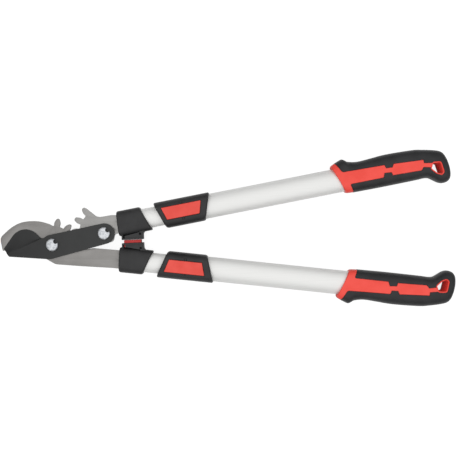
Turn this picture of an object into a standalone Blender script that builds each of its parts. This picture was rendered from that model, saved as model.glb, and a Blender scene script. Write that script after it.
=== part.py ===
"""Telescopic bypass lopper with a geared blade, lying on its side, closed and pushed in.

X runs from the jaws to the grips, midway between the handles. Y runs to the upper handle
and Z up. The origin is on the floor under the middle of the tool. Lengths are in metres
and angles in degrees. Free outlines are written in millimetres and go through mm(). In a
handle's own frame, along runs down its tube and out points away from the other handle.
"""
from math import acos, ceil, copysign, cos, pi, radians, sin, tan

import bmesh
import bpy
from mathutils import Matrix, Vector

# Unit of the outlines, running gap between neighbours, and how far a cutter runs past its piece
MILLIMETRE = 0.001
CLEARANCE = 0.0003
PASS = 0.003

# Places of the whole tool: main pivot, and each handle's angle to and distance from the middle line
PIVOT_X = -0.2505
HANDLE_ANGLE = 8.555
HANDLE_OFFSET = 0.01125

# Pivots and their bolts
PIVOT_SPACING = 0.076
PIVOT_ANGLE = 9.85
SHANK_RADIUS = 0.004
HEAD_RADIUS = 0.0087
HEAD_HEIGHT = 0.0034
HEAD_CHAMFER = 0.0011
HEAD_CHAMFER_HEIGHT = 0.0009
KEY_RADIUS = 0.0029
KEY_DISTANCE = 0.0068
KEY_ANGLE = 44
WASHER_RADIUS = 0.008
WASHER_HEIGHT = 0.0016
NUT_RADIUS = 0.0075
NUT_HEIGHT = 0.0058
BOLT_PROUD = 0.0006

# Steel plates
PLATE_THICKNESS = 0.004
BLADE_THICKNESS = 0.004
LINK_THICKNESS = 0.003
EDGE_THICKNESS = 0.0006
BLADE_BOSS_RADIUS = 0.0144
LINK_END_RADIUS = 0.0125

# Gear teeth, cut on the hook about the main pivot and on the upper tang about its own
HOOK_FULL_TEETH = 12
TANG_FULL_TEETH = 16
TEETH_CUT = 4
HOOK_ADDENDUM = 0.0057
TANG_ADDENDUM = 0.0046
ROOT_GAP = 0.0009
BACKLASH = 0.0008
PRESSURE_ANGLE = 20
MESH_PHASE = 0.222
FLANK_STEPS = 4
TIP_ROUND = 0.0003

# Tubes, flat ovals: half widths along the tool's plane, half depths across it
INNER_HALF_WIDTH = 0.0145
INNER_HALF_DEPTH = 0.0087
INNER_WALL = 0.0012
INNER_START = 0.106
INNER_LENGTH = 0.416
TUBE_GAP_WIDTH = 0.0016
TUBE_GAP_DEPTH = 0.0010
OUTER_WALL = 0.0013
OUTER_OVERRUN = 0.023
BUSH_LENGTH = 0.026
BUSH_CAP = 0.003
BUSH_RUN = 0.0004

# Tangs: the neck that shows, and the tail inside the inner tube with its rivets
TANG_HALF_WIDTH = 0.0131
TANG_LIP = 0.0015
TAIL_GAP = 0.0013
TAIL_LENGTH = 0.0455
TAIL_CORNER = 0.004
HOOK_NECK = 0.0145
TANG_NECK = (0.0075, 0.0090)
TANG_NECK_ROUND = (0.010, 0.008)
RIVET_RADIUS = 0.002
RIVET_SETBACK = 0.008
RIVET_SPACING = 0.016

# Ferrule: its slanted ends, outer place first, are measured from the inner tube's start
FERRULE_AHEAD = (0.0081, 0.0108)
FERRULE_BEHIND = (0.0265, 0.0402)
FERRULE_WALL_WIDTH = 0.0036
FERRULE_WALL_DEPTH = 0.0043
FERRULE_EDGE = 0.0022
BOSS_AHEAD = 0.0062
BOSS_LENGTH = 0.0305
BOSS_FACE = 0.0023
BOSS_HEIGHT = 0.0117
BOSS_HALF_DEPTH = 0.0085
BOSS_EDGE = 0.0008
BOSS_FILLET = 0.006
BOSS_SKIRT = 0.011
PAD_LENGTH = 0.0245
PAD_HALF_DEPTH = 0.0062
PAD_SEAT = 0.0055

# Lock: stop holes, leaf spring with its pin
STOP_HOLE_RADIUS = 0.003
STOP_PITCH = 0.0625
STOP_COUNT = 5
LOCK_SETBACK = 0.070
LOCK_PIN_PLAY = 0.0006
LEAF_THICKNESS = 0.0005
LEAF_HALF_WIDTH = 0.0035
LEAF_LENGTH = 0.019
LEAF_AHEAD = 0.004
LEAF_TIP_RADIUS = 0.002

# Lock collar: its slanted ends, outer place first, are measured from the lock pin
COLLAR_AHEAD = (0.0228, 0.0100)
COLLAR_BEHIND = (0.0583, 0.0462)
COLLAR_WALL_WIDTH = 0.0019
COLLAR_WALL_DEPTH = 0.0068
COLLAR_RISE = 0.0060
COLLAR_EDGE = 0.0026
COLLAR_SHOULDER = 0.024
WINDOW_WALL = 0.0016
WINDOW_AHEAD = (0.0130, 0.0070)
WINDOW_BEHIND = (0.0461, 0.0406)
WINDOW_RIM = (0.0070, 0.0087)
WINDOW_CORNER = 0.0014
WINDOW_GAP = 0.0006

# Rocker button and its pin
BUTTON_SETBACK = 0.0165
BUTTON_LIFT = 0.0021
BUTTON_PROUD = 0.0016
BUTTON_EDGE = 0.0011
BUTTON_PIN_RADIUS = 0.0012
BUTTON_PIN_LIFT = 0.0019
BUTTON_PIN_GRIP = 0.0025
LUG_CAP = 0.0006

# Sleeves and grips: how square their oval sections are, and the grip's walls
SLEEVE_ROUNDNESS = 3.2
GRIP_ROUNDNESS = 2.7
GRIP_WALL_DEPTH = 0.005
COVER_WALL = 0.0015
EYE_LINING = 0.0019

# Fineness of arcs, ovals and lofts
ARC_STEP = 20
ARC_SAG = 0.0001
OVAL_SIDES = 24
RING_SIDES = 16
BURIED_SIDES = 12
ROUND_SIDES = 20
HOLE_SIDES = 8
WIDE_HOLE_SIDES = 12
EDGE_STEPS = 2


def mm(rows):
    """Rows of millimetres as metres."""
    return [tuple(value * MILLIMETRE for value in row) for row in rows]


# Tubes and tangs
INNER_END = INNER_START + INNER_LENGTH
OUTER_HALF_WIDTH = INNER_HALF_WIDTH + TUBE_GAP_WIDTH + OUTER_WALL
OUTER_HALF_DEPTH = INNER_HALF_DEPTH + TUBE_GAP_DEPTH + OUTER_WALL
OUTER_END = INNER_END + OUTER_OVERRUN
TAIL_START = INNER_START - TANG_LIP
TAIL_END = TAIL_START + TAIL_LENGTH
TAIL_HALF_WIDTH = INNER_HALF_WIDTH - INNER_WALL - TAIL_GAP
RIVET_PLACES = (INNER_START + RIVET_SETBACK, INNER_START + RIVET_SETBACK + RIVET_SPACING)

# Ferrules and buffer
FERRULE_HALF_WIDTH = INNER_HALF_WIDTH + FERRULE_WALL_WIDTH
FERRULE_HALF_DEPTH = INNER_HALF_DEPTH + FERRULE_WALL_DEPTH
BOSS_FRONT = INNER_START - BOSS_AHEAD
BOSS_BACK = BOSS_FRONT + BOSS_LENGTH
BOSS_ROOT = BOSS_FACE + BOSS_HEIGHT

# Locks
LOCK_PLACE = INNER_START + LOCK_SETBACK
LOCK_PIN_RADIUS = STOP_HOLE_RADIUS - LOCK_PIN_PLAY
OUTER_START = LOCK_PLACE + COLLAR_SHOULDER
COLLAR_HALF_WIDTH = OUTER_HALF_WIDTH + COLLAR_WALL_WIDTH
COLLAR_HALF_DEPTH = OUTER_HALF_DEPTH + COLLAR_WALL_DEPTH
COLLAR_TOP = OUTER_HALF_DEPTH + COLLAR_RISE
WINDOW_FLOOR = OUTER_HALF_DEPTH + WINDOW_WALL
WINDOW_OUT = OUTER_HALF_WIDTH - WINDOW_RIM[0]
WINDOW_IN = WINDOW_RIM[1] - OUTER_HALF_WIDTH
BUTTON_PLACE = LOCK_PLACE + BUTTON_SETBACK
BUTTON_BOTTOM = WINDOW_FLOOR + BUTTON_LIFT
BUTTON_TOP = COLLAR_TOP + BUTTON_PROUD
BUTTON_PIN_HEIGHT = BUTTON_BOTTOM + BUTTON_PIN_LIFT

# Grips, which the tool lies on
GRIP_HALF_DEPTH = OUTER_HALF_DEPTH + GRIP_WALL_DEPTH
MID_HEIGHT = GRIP_HALF_DEPTH

# Pivots and heights of the plates, washers and nuts
PIVOT = Vector((0.0, 0.0))
GEAR_PIVOT = Vector((cos(radians(PIVOT_ANGLE)), sin(radians(PIVOT_ANGLE)))) * PIVOT_SPACING
PLATE_TOP = PLATE_THICKNESS / 2
BLADE_LOW = PLATE_TOP + CLEARANCE
BLADE_TOP = BLADE_LOW + BLADE_THICKNESS
LINK_TOP = -PLATE_TOP - CLEARANCE
LINK_LOW = LINK_TOP - LINK_THICKNESS
WASHER_LOW = LINK_LOW - CLEARANCE - WASHER_HEIGHT
NUT_LOW = WASHER_LOW - CLEARANCE - NUT_HEIGHT
BORE_RADIUS = SHANK_RADIUS + CLEARANCE

# Gear
MODULE = 2 * PIVOT_SPACING / (HOOK_FULL_TEETH + TANG_FULL_TEETH)
HOOK_PITCH_RADIUS = MODULE * HOOK_FULL_TEETH / 2
TANG_PITCH_RADIUS = MODULE * TANG_FULL_TEETH / 2
HOOK_TIP_RADIUS = HOOK_PITCH_RADIUS + HOOK_ADDENDUM
TANG_TIP_RADIUS = TANG_PITCH_RADIUS + TANG_ADDENDUM
HOOK_ROOT_RADIUS = PIVOT_SPACING - TANG_TIP_RADIUS - ROOT_GAP
TANG_ROOT_RADIUS = PIVOT_SPACING - HOOK_TIP_RADIUS - ROOT_GAP


def on_handle(side, along, out):
    """Point of the tool's plane that lies along and out on a handle; side is 1 above, -1 below."""
    turn = radians(HANDLE_ANGLE)
    x = along * cos(turn) - (out + HANDLE_OFFSET) * sin(turn)
    y = along * sin(turn) + (out + HANDLE_OFFSET) * cos(turn)
    return x, side * y


def rounded(corners):
    """Closed outline with an arc at each corner; a corner is (x, y, radius)."""
    points = []
    for index, corner in enumerate(corners):
        place = Vector(corner[:2])
        before = Vector(corners[index - 1][:2]) - place
        after = Vector(corners[(index + 1) % len(corners)][:2]) - place
        half = before.angle(after) / 2
        reach = min(corner[2] / tan(half), before.length / 2, after.length / 2)
        if reach < 0.00005 or half > radians(89):
            points.append(place)
            continue
        centre = place + (before.normalized() + after.normalized()).normalized() * reach / cos(half)
        start = place + before.normalized() * reach - centre
        turn = start.angle_signed(place + after.normalized() * reach - centre)
        radius = reach * tan(half)
        widest = min(radians(ARC_STEP), 2 * acos(max(0.0, 1 - ARC_SAG / radius)))
        steps = max(1, ceil(abs(turn) / widest))
        points += [centre + Matrix.Rotation(-turn * step / steps, 2) @ start for step in range(steps + 1)]
    return points


def grown(corners, distance):
    """The corners of an outline moved outward by a distance, with their arcs kept parallel."""
    points = [Vector(corner[:2]) for corner in corners]
    area = sum(a.cross(b) for a, b in zip(points, points[1:] + points[:1]))
    outward = distance if area > 0 else -distance
    moved = []
    for index, point in enumerate(points):
        before = (point - points[index - 1]).normalized()
        after = (points[(index + 1) % len(points)] - point).normalized()
        normals = Vector((before.y, -before.x)), Vector((after.y, -after.x))
        place = point + (normals[0] + normals[1]) * outward / (1 + normals[0].dot(normals[1]))
        wider = distance if before.cross(after) * area > 0 else -distance
        moved.append((*place, max(0.0, corners[index][2] + wider) if corners[index][2] else 0.0))
    return moved


def circle(centre, radius, sides=ROUND_SIDES):
    """Outline of a round hole or disc."""
    steps = [2 * pi * step / sides for step in range(sides)]
    return [Vector(centre) + Vector((cos(turn), sin(turn))) * radius for turn in steps]


def oval(half_width, half_depth, sides=OVAL_SIDES):
    """Outline of a flat oval tube's section."""
    steps = [2 * pi * (step + 0.5) / sides for step in range(sides)]
    return [Vector((cos(turn) * half_width, sin(turn) * half_depth)) for turn in steps]


def swell(share, roundness):
    """A sine or cosine pushed outward, which turns an oval into a softened box."""
    return copysign(abs(share) ** (2 / roundness), share)


def clear_scene():
    """Remove what a new file holds."""
    for thing in list(bpy.data.objects):
        bpy.data.objects.remove(thing, do_unlink=True)


def collection(name):
    """A collection linked to the scene."""
    made = bpy.data.collections.new(name)
    bpy.context.scene.collection.children.link(made)
    return made


def finish(name, colour, roughness, metallic):
    """A plain material in the part's colour."""
    material = bpy.data.materials.new(name)
    material.use_nodes = True
    shader = material.node_tree.nodes["Principled BSDF"]
    shader.inputs["Base Color"].default_value = (*colour, 1.0)
    shader.inputs["Roughness"].default_value = roughness
    shader.inputs["Metallic"].default_value = metallic
    return material


def steel(name):
    return finish(name + "_steel", (0.26, 0.255, 0.25), 0.38, 1.0)


def coated(name):
    return finish(name + "_coated_steel", (0.045, 0.045, 0.046), 0.45, 0.2)


def zinc(name):
    return finish(name + "_zinc", (0.69, 0.70, 0.72), 0.35, 1.0)


def aluminium(name):
    return finish(name + "_aluminium", (0.80, 0.80, 0.79), 0.35, 0.9)


def black_plastic(name):
    return finish(name + "_black_plastic", (0.045, 0.045, 0.046), 0.5, 0.0)


def red_plastic(name):
    return finish(name + "_red_plastic", (0.87, 0.08, 0.06), 0.4, 0.0)


def black_rubber(name):
    return finish(name + "_black_rubber", (0.025, 0.025, 0.027), 0.75, 0.0)


def empty(name, place, parent=None, turn=0.0):
    """A joint's axis or a frame for what is placed in it."""
    made = bpy.data.objects.new(name, None)
    made.empty_display_size = 0.02
    made.location = place
    made.rotation_euler = (0.0, 0.0, radians(turn))
    made.parent = parent
    parts.objects.link(made)
    return made


def piece(name, mesh, parent, make_material=None):
    """A sub-part, or a cutter or guide where no material is given."""
    made = bpy.data.objects.new(name, mesh)
    made.parent = parent
    if make_material:
        mesh.materials.append(make_material(name))
        parts.objects.link(made)
        mesh.shade_smooth()
        mesh.set_sharp_from_angle(angle=radians(30))
        return made
    made.hide_render = True
    made.display_type = "WIRE"
    cutters.objects.link(made)
    return made


def prism(outlines, low, high):
    """Mesh of a flat outline with holes, from a filled 2D curve."""
    curve = bpy.data.curves.new("outline", "CURVE")
    curve.dimensions = "2D"
    curve.fill_mode = "BOTH"
    curve.extrude = (high - low) / 2
    for outline in outlines:
        spline = curve.splines.new("POLY")
        spline.points.add(len(outline) - 1)
        for point, place in zip(spline.points, outline):
            point.co = (place[0], place[1], 0.0, 1.0)
        spline.use_cyclic_u = True
    drawn = bpy.data.objects.new("outline", curve)
    bpy.context.scene.collection.objects.link(drawn)
    bpy.context.view_layer.update()
    mesh = bpy.data.meshes.new_from_object(drawn.evaluated_get(bpy.context.evaluated_depsgraph_get()))
    bpy.data.objects.remove(drawn)
    bpy.data.curves.remove(curve)
    shape = bmesh.new()
    shape.from_mesh(mesh)
    bmesh.ops.remove_doubles(shape, verts=shape.verts, dist=0.000001)
    bmesh.ops.dissolve_limit(shape, angle_limit=0.0001, verts=shape.verts, edges=shape.edges)
    bmesh.ops.translate(shape, verts=shape.verts, vec=(0.0, 0.0, (low + high) / 2))
    bmesh.ops.recalc_face_normals(shape, faces=shape.faces)
    shape.to_mesh(mesh)
    shape.free()
    return mesh


def bar(outlines, start, end):
    """Mesh of a section that runs along the handle, with its width in the tool's plane."""
    mesh = prism(outlines, start, end)
    mesh.transform(Matrix(((0, 0, 1, 0), (1, 0, 0, 0), (0, 1, 0, 0), (0, 0, 0, 1))))
    return mesh


def rod(radius, low, high, sides=ROUND_SIDES):
    """Mesh of a round rod along Z."""
    shape = bmesh.new()
    bmesh.ops.create_cone(shape, cap_ends=True, segments=sides, radius1=radius, radius2=radius,
                          depth=high - low)
    bmesh.ops.translate(shape, verts=shape.verts, vec=(0.0, 0.0, (low + high) / 2))
    mesh = bpy.data.meshes.new("rod")
    shape.to_mesh(mesh)
    shape.free()
    return mesh


def loft(rings):
    """Closed mesh through a row of rings with the same number of points."""
    shape = bmesh.new()
    rows = [[shape.verts.new(point) for point in ring] for ring in rings]
    for first, second in zip(rows, rows[1:]):
        for index in range(len(first)):
            after = (index + 1) % len(first)
            shape.faces.new((first[index], first[after], second[after], second[index]))
    shape.faces.new(rows[0])
    shape.faces.new(rows[-1])
    bmesh.ops.recalc_face_normals(shape, faces=shape.faces)
    mesh = bpy.data.meshes.new("loft")
    shape.to_mesh(mesh)
    shape.free()
    return mesh


def sleeve(front, back, half_width, half_depth, edge, side, low=-1.0, high=1.0):
    """Moulded sleeve across a handle; front and back hold the outer and inner place of a slanted end."""
    rows = []
    for (outer, inner), inward in ((front, 1), (back, -1)):
        for step in range(EDGE_STEPS + 1):
            turn = radians(90) * (EDGE_STEPS - step if inward > 0 else step) / EDGE_STEPS
            rows.append((outer, inner, inward * edge * (1 - sin(turn)), edge * (1 - cos(turn))))
    rings = []
    for outer, inner, shift, drawn_in in rows:
        ring = []
        for step in range(OVAL_SIDES):
            turn = 2 * pi * step / OVAL_SIDES
            out = (half_width - drawn_in) * swell(cos(turn), SLEEVE_ROUNDNESS)
            height = (half_depth - drawn_in) * swell(sin(turn), SLEEVE_ROUNDNESS)
            along = (outer + inner) / 2 + (outer - inner) * out / (2 * half_width) + shift
            ring.append((along, side * out, min(max(height, low + drawn_in), high - drawn_in)))
        rings.append(ring)
    return loft(rings)


def boolean(made, tool, operation="DIFFERENCE"):
    """Cut, join or meet a piece with a cutter."""
    modifier = made.modifiers.new(operation.lower(), "BOOLEAN")
    modifier.operation = operation
    modifier.object = tool
    modifier.solver = "EXACT"


def tooth(centre, angle, pitch_radius, full_teeth, root_radius, tip_radius):
    """Outline of one involute finger tooth, clockwise, from root to root."""
    base = pitch_radius * cos(radians(PRESSURE_ANGLE))
    pitch_half = pi / (2 * full_teeth) - BACKLASH / (4 * pitch_radius)

    def half(radius):
        slope = acos(min(1.0, base / radius))
        start = radians(PRESSURE_ANGLE)
        return pitch_half - (tan(slope) - slope) + (tan(start) - start)

    rounding = tip_radius - 3 * TIP_ROUND
    flank = [(root_radius, half(base) + ROOT_GAP / root_radius), (root_radius + ROOT_GAP, half(base))]
    for step in range(FLANK_STEPS + 1):
        radius = base + (rounding - base) * step / FLANK_STEPS
        flank.append((radius, half(radius)))
    flank += [(tip_radius - TIP_ROUND, half(tip_radius) * 0.8), (tip_radius, half(tip_radius) * 0.4)]
    rising = [(radius, radians(angle) + turn) for radius, turn in flank]
    falling = [(radius, radians(angle) - turn) for radius, turn in reversed(flank)]
    return [Vector(centre) + Vector((cos(turn), sin(turn))) * radius for radius, turn in rising + falling]


def teeth(centre, line_angle, side, pitch_radius, full_teeth, root_radius, tip_radius):
    """The row of teeth on one gear, clockwise; side is 1 on the hook and -1 on the tang."""
    pitch = 360 / full_teeth
    phase = MESH_PHASE if side > 0 else 0.5 - MESH_PHASE
    first = TEETH_CUT - 2 if side > 0 else 0
    points = []
    for index in range(TEETH_CUT):
        angle = line_angle + pitch * (first - index + phase)
        points += tooth(centre, angle, pitch_radius, full_teeth, root_radius, tip_radius)
    return points


def tail_corners():
    """End of a tang, from its neck's outer side round the tail in the tube to its inner side."""
    return [(TAIL_START, TANG_HALF_WIDTH, 0), (TAIL_START, TAIL_HALF_WIDTH, 0),
            (TAIL_END, TAIL_HALF_WIDTH, TAIL_CORNER), (TAIL_END, -TAIL_HALF_WIDTH, TAIL_CORNER),
            (TAIL_START, -TAIL_HALF_WIDTH, 0), (TAIL_START, -TANG_HALF_WIDTH, 0)]


def hook_outline():
    """Counter hook, teeth and lower tang, clockwise from the hook's tip."""
    back = mm([(-72.6, -7, 1.2), (-76, 13.5, 9), (-59, 28, 60), (-46, 34.2, 55), (-32.7, 35.9, 70),
               (-17.6, 34.8, 50), (-4.2, 29.9, 4), (-0.6, 27.6, 2)])
    row = teeth(PIVOT, PIVOT_ANGLE, 1, HOOK_PITCH_RADIUS, HOOK_FULL_TEETH, HOOK_ROOT_RADIUS,
                HOOK_TIP_RADIUS)
    # The last tooth's far flank is inside the plate, so the row ends just past its tip
    row = [(*point, 0) for point in row[:-7]]
    inner_side = mm([(58, -12.4, 8)]) + [(TAIL_START - HOOK_NECK, -TANG_HALF_WIDTH, 0)]
    outer_side = [(TAIL_START - HOOK_NECK, TANG_HALF_WIDTH, 0)]
    outer_side += mm([(41, 15.3, 60), (6.5, 16.3, 12), (-8.5, 9.8, 12)])
    tang = inner_side + tail_corners()[::-1] + outer_side
    lower = [(*on_handle(-1, along, out), radius) for along, out, radius in tang]
    inner = mm([(-21.5, -16.5, 9), (-18.5, 3, 7), (-27, 16.5, 12), (-45, 20.5, 16), (-60, 8, 30)])
    return rounded(back + row + lower + inner)


def upper_tang_outline():
    """Upper tang and its teeth about the gear pivot, clockwise from under the teeth."""
    row = teeth(GEAR_PIVOT, PIVOT_ANGLE + 180, -1, TANG_PITCH_RADIUS, TANG_FULL_TEETH, TANG_ROOT_RADIUS,
                TANG_TIP_RADIUS)
    # The last tooth's root lies in the shoulder, so the row ends above it
    row = [(*point, 0) for point in row[:-2]]
    outer_side = mm([(73.5, 14.9, 40), (91, 14.5, 30)])
    outer_side += [(TAIL_START - TANG_NECK[0], TANG_HALF_WIDTH, TANG_NECK_ROUND[0])]
    inner_side = [(TAIL_START - TANG_NECK[1], -TANG_HALF_WIDTH, TANG_NECK_ROUND[1])]
    inner_side += mm([(89.5, -14, 6)])
    tang = outer_side + tail_corners() + inner_side
    upper = [(*on_handle(1, along, out), radius) for along, out, radius in tang]
    hub = mm([(12.5, -13, 11), (-18, -14.8, 12)])
    hub = [(GEAR_PIVOT.x + x, GEAR_PIVOT.y + y, radius) for x, y, radius in hub]
    return rounded(row + mm([(63.5, 38.2, 6)]) + upper + hub)


def strap_corners(radius):
    """Square end round the gear pivot, whose corners round to a full half circle."""
    along = GEAR_PIVOT.normalized() * radius
    across = Vector((-along.y, along.x))
    return [(*(GEAR_PIVOT + along + across), radius), (*(GEAR_PIVOT + along - across), radius)]


def blade_outline():
    """Cutting blade, clockwise from its tip, with its tail out to the gear pivot."""
    belly = mm([(-71.0, -2.6, 1.0), (-51.0, 23.5, 22.5), (-30.3, 24.4, 22.5), (-15.3, 8.3, 6),
                (-6.5, 13.9, 10)])
    spine = mm([(-3.8, -20.6, 5), (-62.8, -14.2, 1.5)])
    return rounded(belly + strap_corners(BLADE_BOSS_RADIUS) + spine)


def bevel_cutter():
    """Solid over the blade's ground bevel, from the straight crease out past the edge."""
    edge = [Vector(point) for point in mm([(-72.5, -5), (-62.5, 8.6), (-56.3, 16.7), (-49, 22.3),
                                           (-40.3, 24.0), (-31.5, 22.6), (-24.5, 18.1), (-19.5, 12.8),
                                           (-16.6, 10.4), (-13.6, 10.1)])]
    crease = [Vector(point) for point in mm([(-64.6, -10.2), (-14.6, 10.3)])]
    depth = BLADE_THICKNESS - EDGE_THICKNESS
    rings = []
    for index, outer in enumerate(edge):
        inner = crease[0].lerp(crease[1], index / (len(edge) - 1))
        past = outer + (outer - inner).normalized() * 2 * MILLIMETRE
        drop = min(depth * (past - inner).length / max((outer - inner).length, MILLIMETRE), depth)
        rings.append([(*inner, BLADE_TOP), (*past, BLADE_TOP - drop), (*past, BLADE_TOP + PASS),
                      (*inner, BLADE_TOP + PASS)])
    return loft(rings)


def local(outline, origin):
    """An outline moved so that the joint's axis is its origin."""
    return [Vector(point) - origin for point in outline]


def bolt(name, parent):
    """Round-headed pivot bolt with a key notch in its head."""
    head_low = BLADE_TOP + CLEARANCE
    head_top = head_low + HEAD_HEIGHT
    bolt_low = NUT_LOW - BOLT_PROUD
    profile = [(0.0, head_top), (HEAD_RADIUS - HEAD_CHAMFER, head_top),
               (HEAD_RADIUS, head_top - HEAD_CHAMFER_HEIGHT), (HEAD_RADIUS, head_low),
               (SHANK_RADIUS, head_low), (SHANK_RADIUS, bolt_low), (0.0, bolt_low)]
    shape = bmesh.new()
    row = [shape.verts.new((radius, 0.0, height)) for radius, height in profile]
    for first, second in zip(row, row[1:]):
        shape.edges.new((first, second))
    mesh = bpy.data.meshes.new(name)
    shape.to_mesh(mesh)
    shape.free()
    made = piece(name, mesh, parent, zinc)
    turned = made.modifiers.new("turned", "SCREW")
    turned.axis = "Z"
    turned.steps = ROUND_SIDES
    turned.render_steps = ROUND_SIDES
    turned.use_merge_vertices = True
    turned.merge_threshold = 0.000001
    turned.use_smooth_shade = True
    key_place = Vector((cos(radians(KEY_ANGLE)), sin(radians(KEY_ANGLE)))) * KEY_DISTANCE
    notch = prism([circle(key_place, KEY_RADIUS, HOLE_SIDES)], head_low - CLEARANCE / 2, head_top + PASS)
    boolean(made, piece(name + "_notch", notch, parent))


def pivot_hardware(name, parent):
    """Bolt, washer and hexagon nut of one pivot."""
    bolt(name + "_bolt", parent)
    bore = circle((0, 0), BORE_RADIUS)
    washer = prism([circle((0, 0), WASHER_RADIUS), bore], WASHER_LOW, WASHER_LOW + WASHER_HEIGHT)
    piece(name + "_washer", washer, parent, zinc)
    nut = prism([circle((0, 0), NUT_RADIUS, 6), bore], NUT_LOW, NUT_LOW + NUT_HEIGHT)
    piece(name + "_nut", nut, parent, zinc)


def build_head():
    """Blade, hook, upper tang, rear link and both pivots."""
    bore = circle(PIVOT, BORE_RADIUS)
    gear_bore = circle(GEAR_PIVOT, BORE_RADIUS)
    piece("hook_tang", prism([hook_outline(), bore], -PLATE_TOP, PLATE_TOP), tool, steel)
    blade = piece("cutting_blade", prism([blade_outline(), bore, gear_bore], BLADE_LOW, BLADE_TOP),
                  main_pivot, coated)
    boolean(blade, piece("blade_bevel_cutter", bevel_cutter(), main_pivot))
    direction = GEAR_PIVOT.normalized() * LINK_END_RADIUS
    across = Vector((-direction.y, direction.x))
    link = [(*(across - direction), LINK_END_RADIUS), (*(-across - direction), LINK_END_RADIUS)]
    outline = rounded(link + list(reversed(strap_corners(LINK_END_RADIUS))))
    piece("rear_link", prism([outline, bore, gear_bore], LINK_LOW, LINK_TOP), main_pivot, coated)
    outline = local(upper_tang_outline(), GEAR_PIVOT)
    piece("upper_gear_tang", prism([outline, bore], -PLATE_TOP, PLATE_TOP), gear_pivot, steel)
    pivot_hardware("main_pivot", main_pivot)
    pivot_hardware("gear_pivot", gear_pivot_bolts)


def sided(corners, side):
    """Corners of a handle's outline, with out measured away from the other handle."""
    return [(corner[0], side * corner[1], *corner[2:]) for corner in corners]


def from_middle(side, corners):
    """Corners given from the tool's middle line, taken into a handle's own frame."""
    turn = radians(HANDLE_ANGLE)
    moved = []
    for x, y, radius in corners:
        out = y * cos(turn) - x * sin(turn) - HANDLE_OFFSET
        moved.append((x * cos(turn) + y * sin(turn), side * out, radius))
    return moved


def boss_outline(side):
    """Block under a ferrule, square to the tool's middle line, with a filleted skirt behind it."""
    skirt_root = BOSS_ROOT + BOSS_SKIRT * tan(radians(HANDLE_ANGLE))
    return from_middle(side, [(BOSS_FRONT, BOSS_FACE, BOSS_EDGE), (BOSS_BACK, BOSS_FACE, BOSS_EDGE),
                              (BOSS_BACK, BOSS_ROOT, BOSS_FILLET), (BOSS_BACK + BOSS_SKIRT, skirt_root, 0),
                              (BOSS_BACK, skirt_root + BOSS_EDGE, 0), (BOSS_FRONT, BOSS_ROOT, 0)])


def pad_outline(growth):
    """The buffer, between the boss faces and down into the lower boss."""
    front = BOSS_FRONT + (BOSS_LENGTH - PAD_LENGTH) / 2
    top = -BOSS_FACE + CLEARANCE
    low = BOSS_FACE + PAD_SEAT
    corners = from_middle(-1, [(front, top, 0), (front + PAD_LENGTH, top, 0),
                               (front + PAD_LENGTH, low, 0), (front, low, 0)])
    return rounded(grown(corners, growth))


def build_ferrule(name, side, frame):
    """Plastic socket that holds tang and tube, with the boss that meets the other handle."""
    front = [INNER_START - ahead for ahead in FERRULE_AHEAD]
    back = [INNER_START + behind for behind in FERRULE_BEHIND]
    body = sleeve(front, back, FERRULE_HALF_WIDTH, FERRULE_HALF_DEPTH, FERRULE_EDGE, side)
    made = piece(name + "_ferrule", body, frame, black_plastic)
    boss = prism([rounded(boss_outline(side))], -BOSS_HALF_DEPTH, BOSS_HALF_DEPTH)
    boolean(made, piece(name + "_boss", boss, frame), "UNION")
    bore = [oval(INNER_HALF_WIDTH + CLEARANCE, INNER_HALF_DEPTH + CLEARANCE)]
    bore = bar(bore, INNER_START - CLEARANCE, max(back) + PASS)
    boolean(made, piece(name + "_ferrule_bore", bore, frame))
    wide, high = TANG_HALF_WIDTH + CLEARANCE, PLATE_TOP + CLEARANCE
    slot = bar([[(-wide, -high), (wide, -high), (wide, high), (-wide, high)]], min(front) - PASS,
               INNER_START + CLEARANCE)
    boolean(made, piece(name + "_tang_slot", slot, frame))
    if side < 0:
        seat = prism([pad_outline(CLEARANCE)], -PAD_HALF_DEPTH - CLEARANCE, PAD_HALF_DEPTH + CLEARANCE)
        boolean(made, piece("pad_seat", seat, frame))


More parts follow.
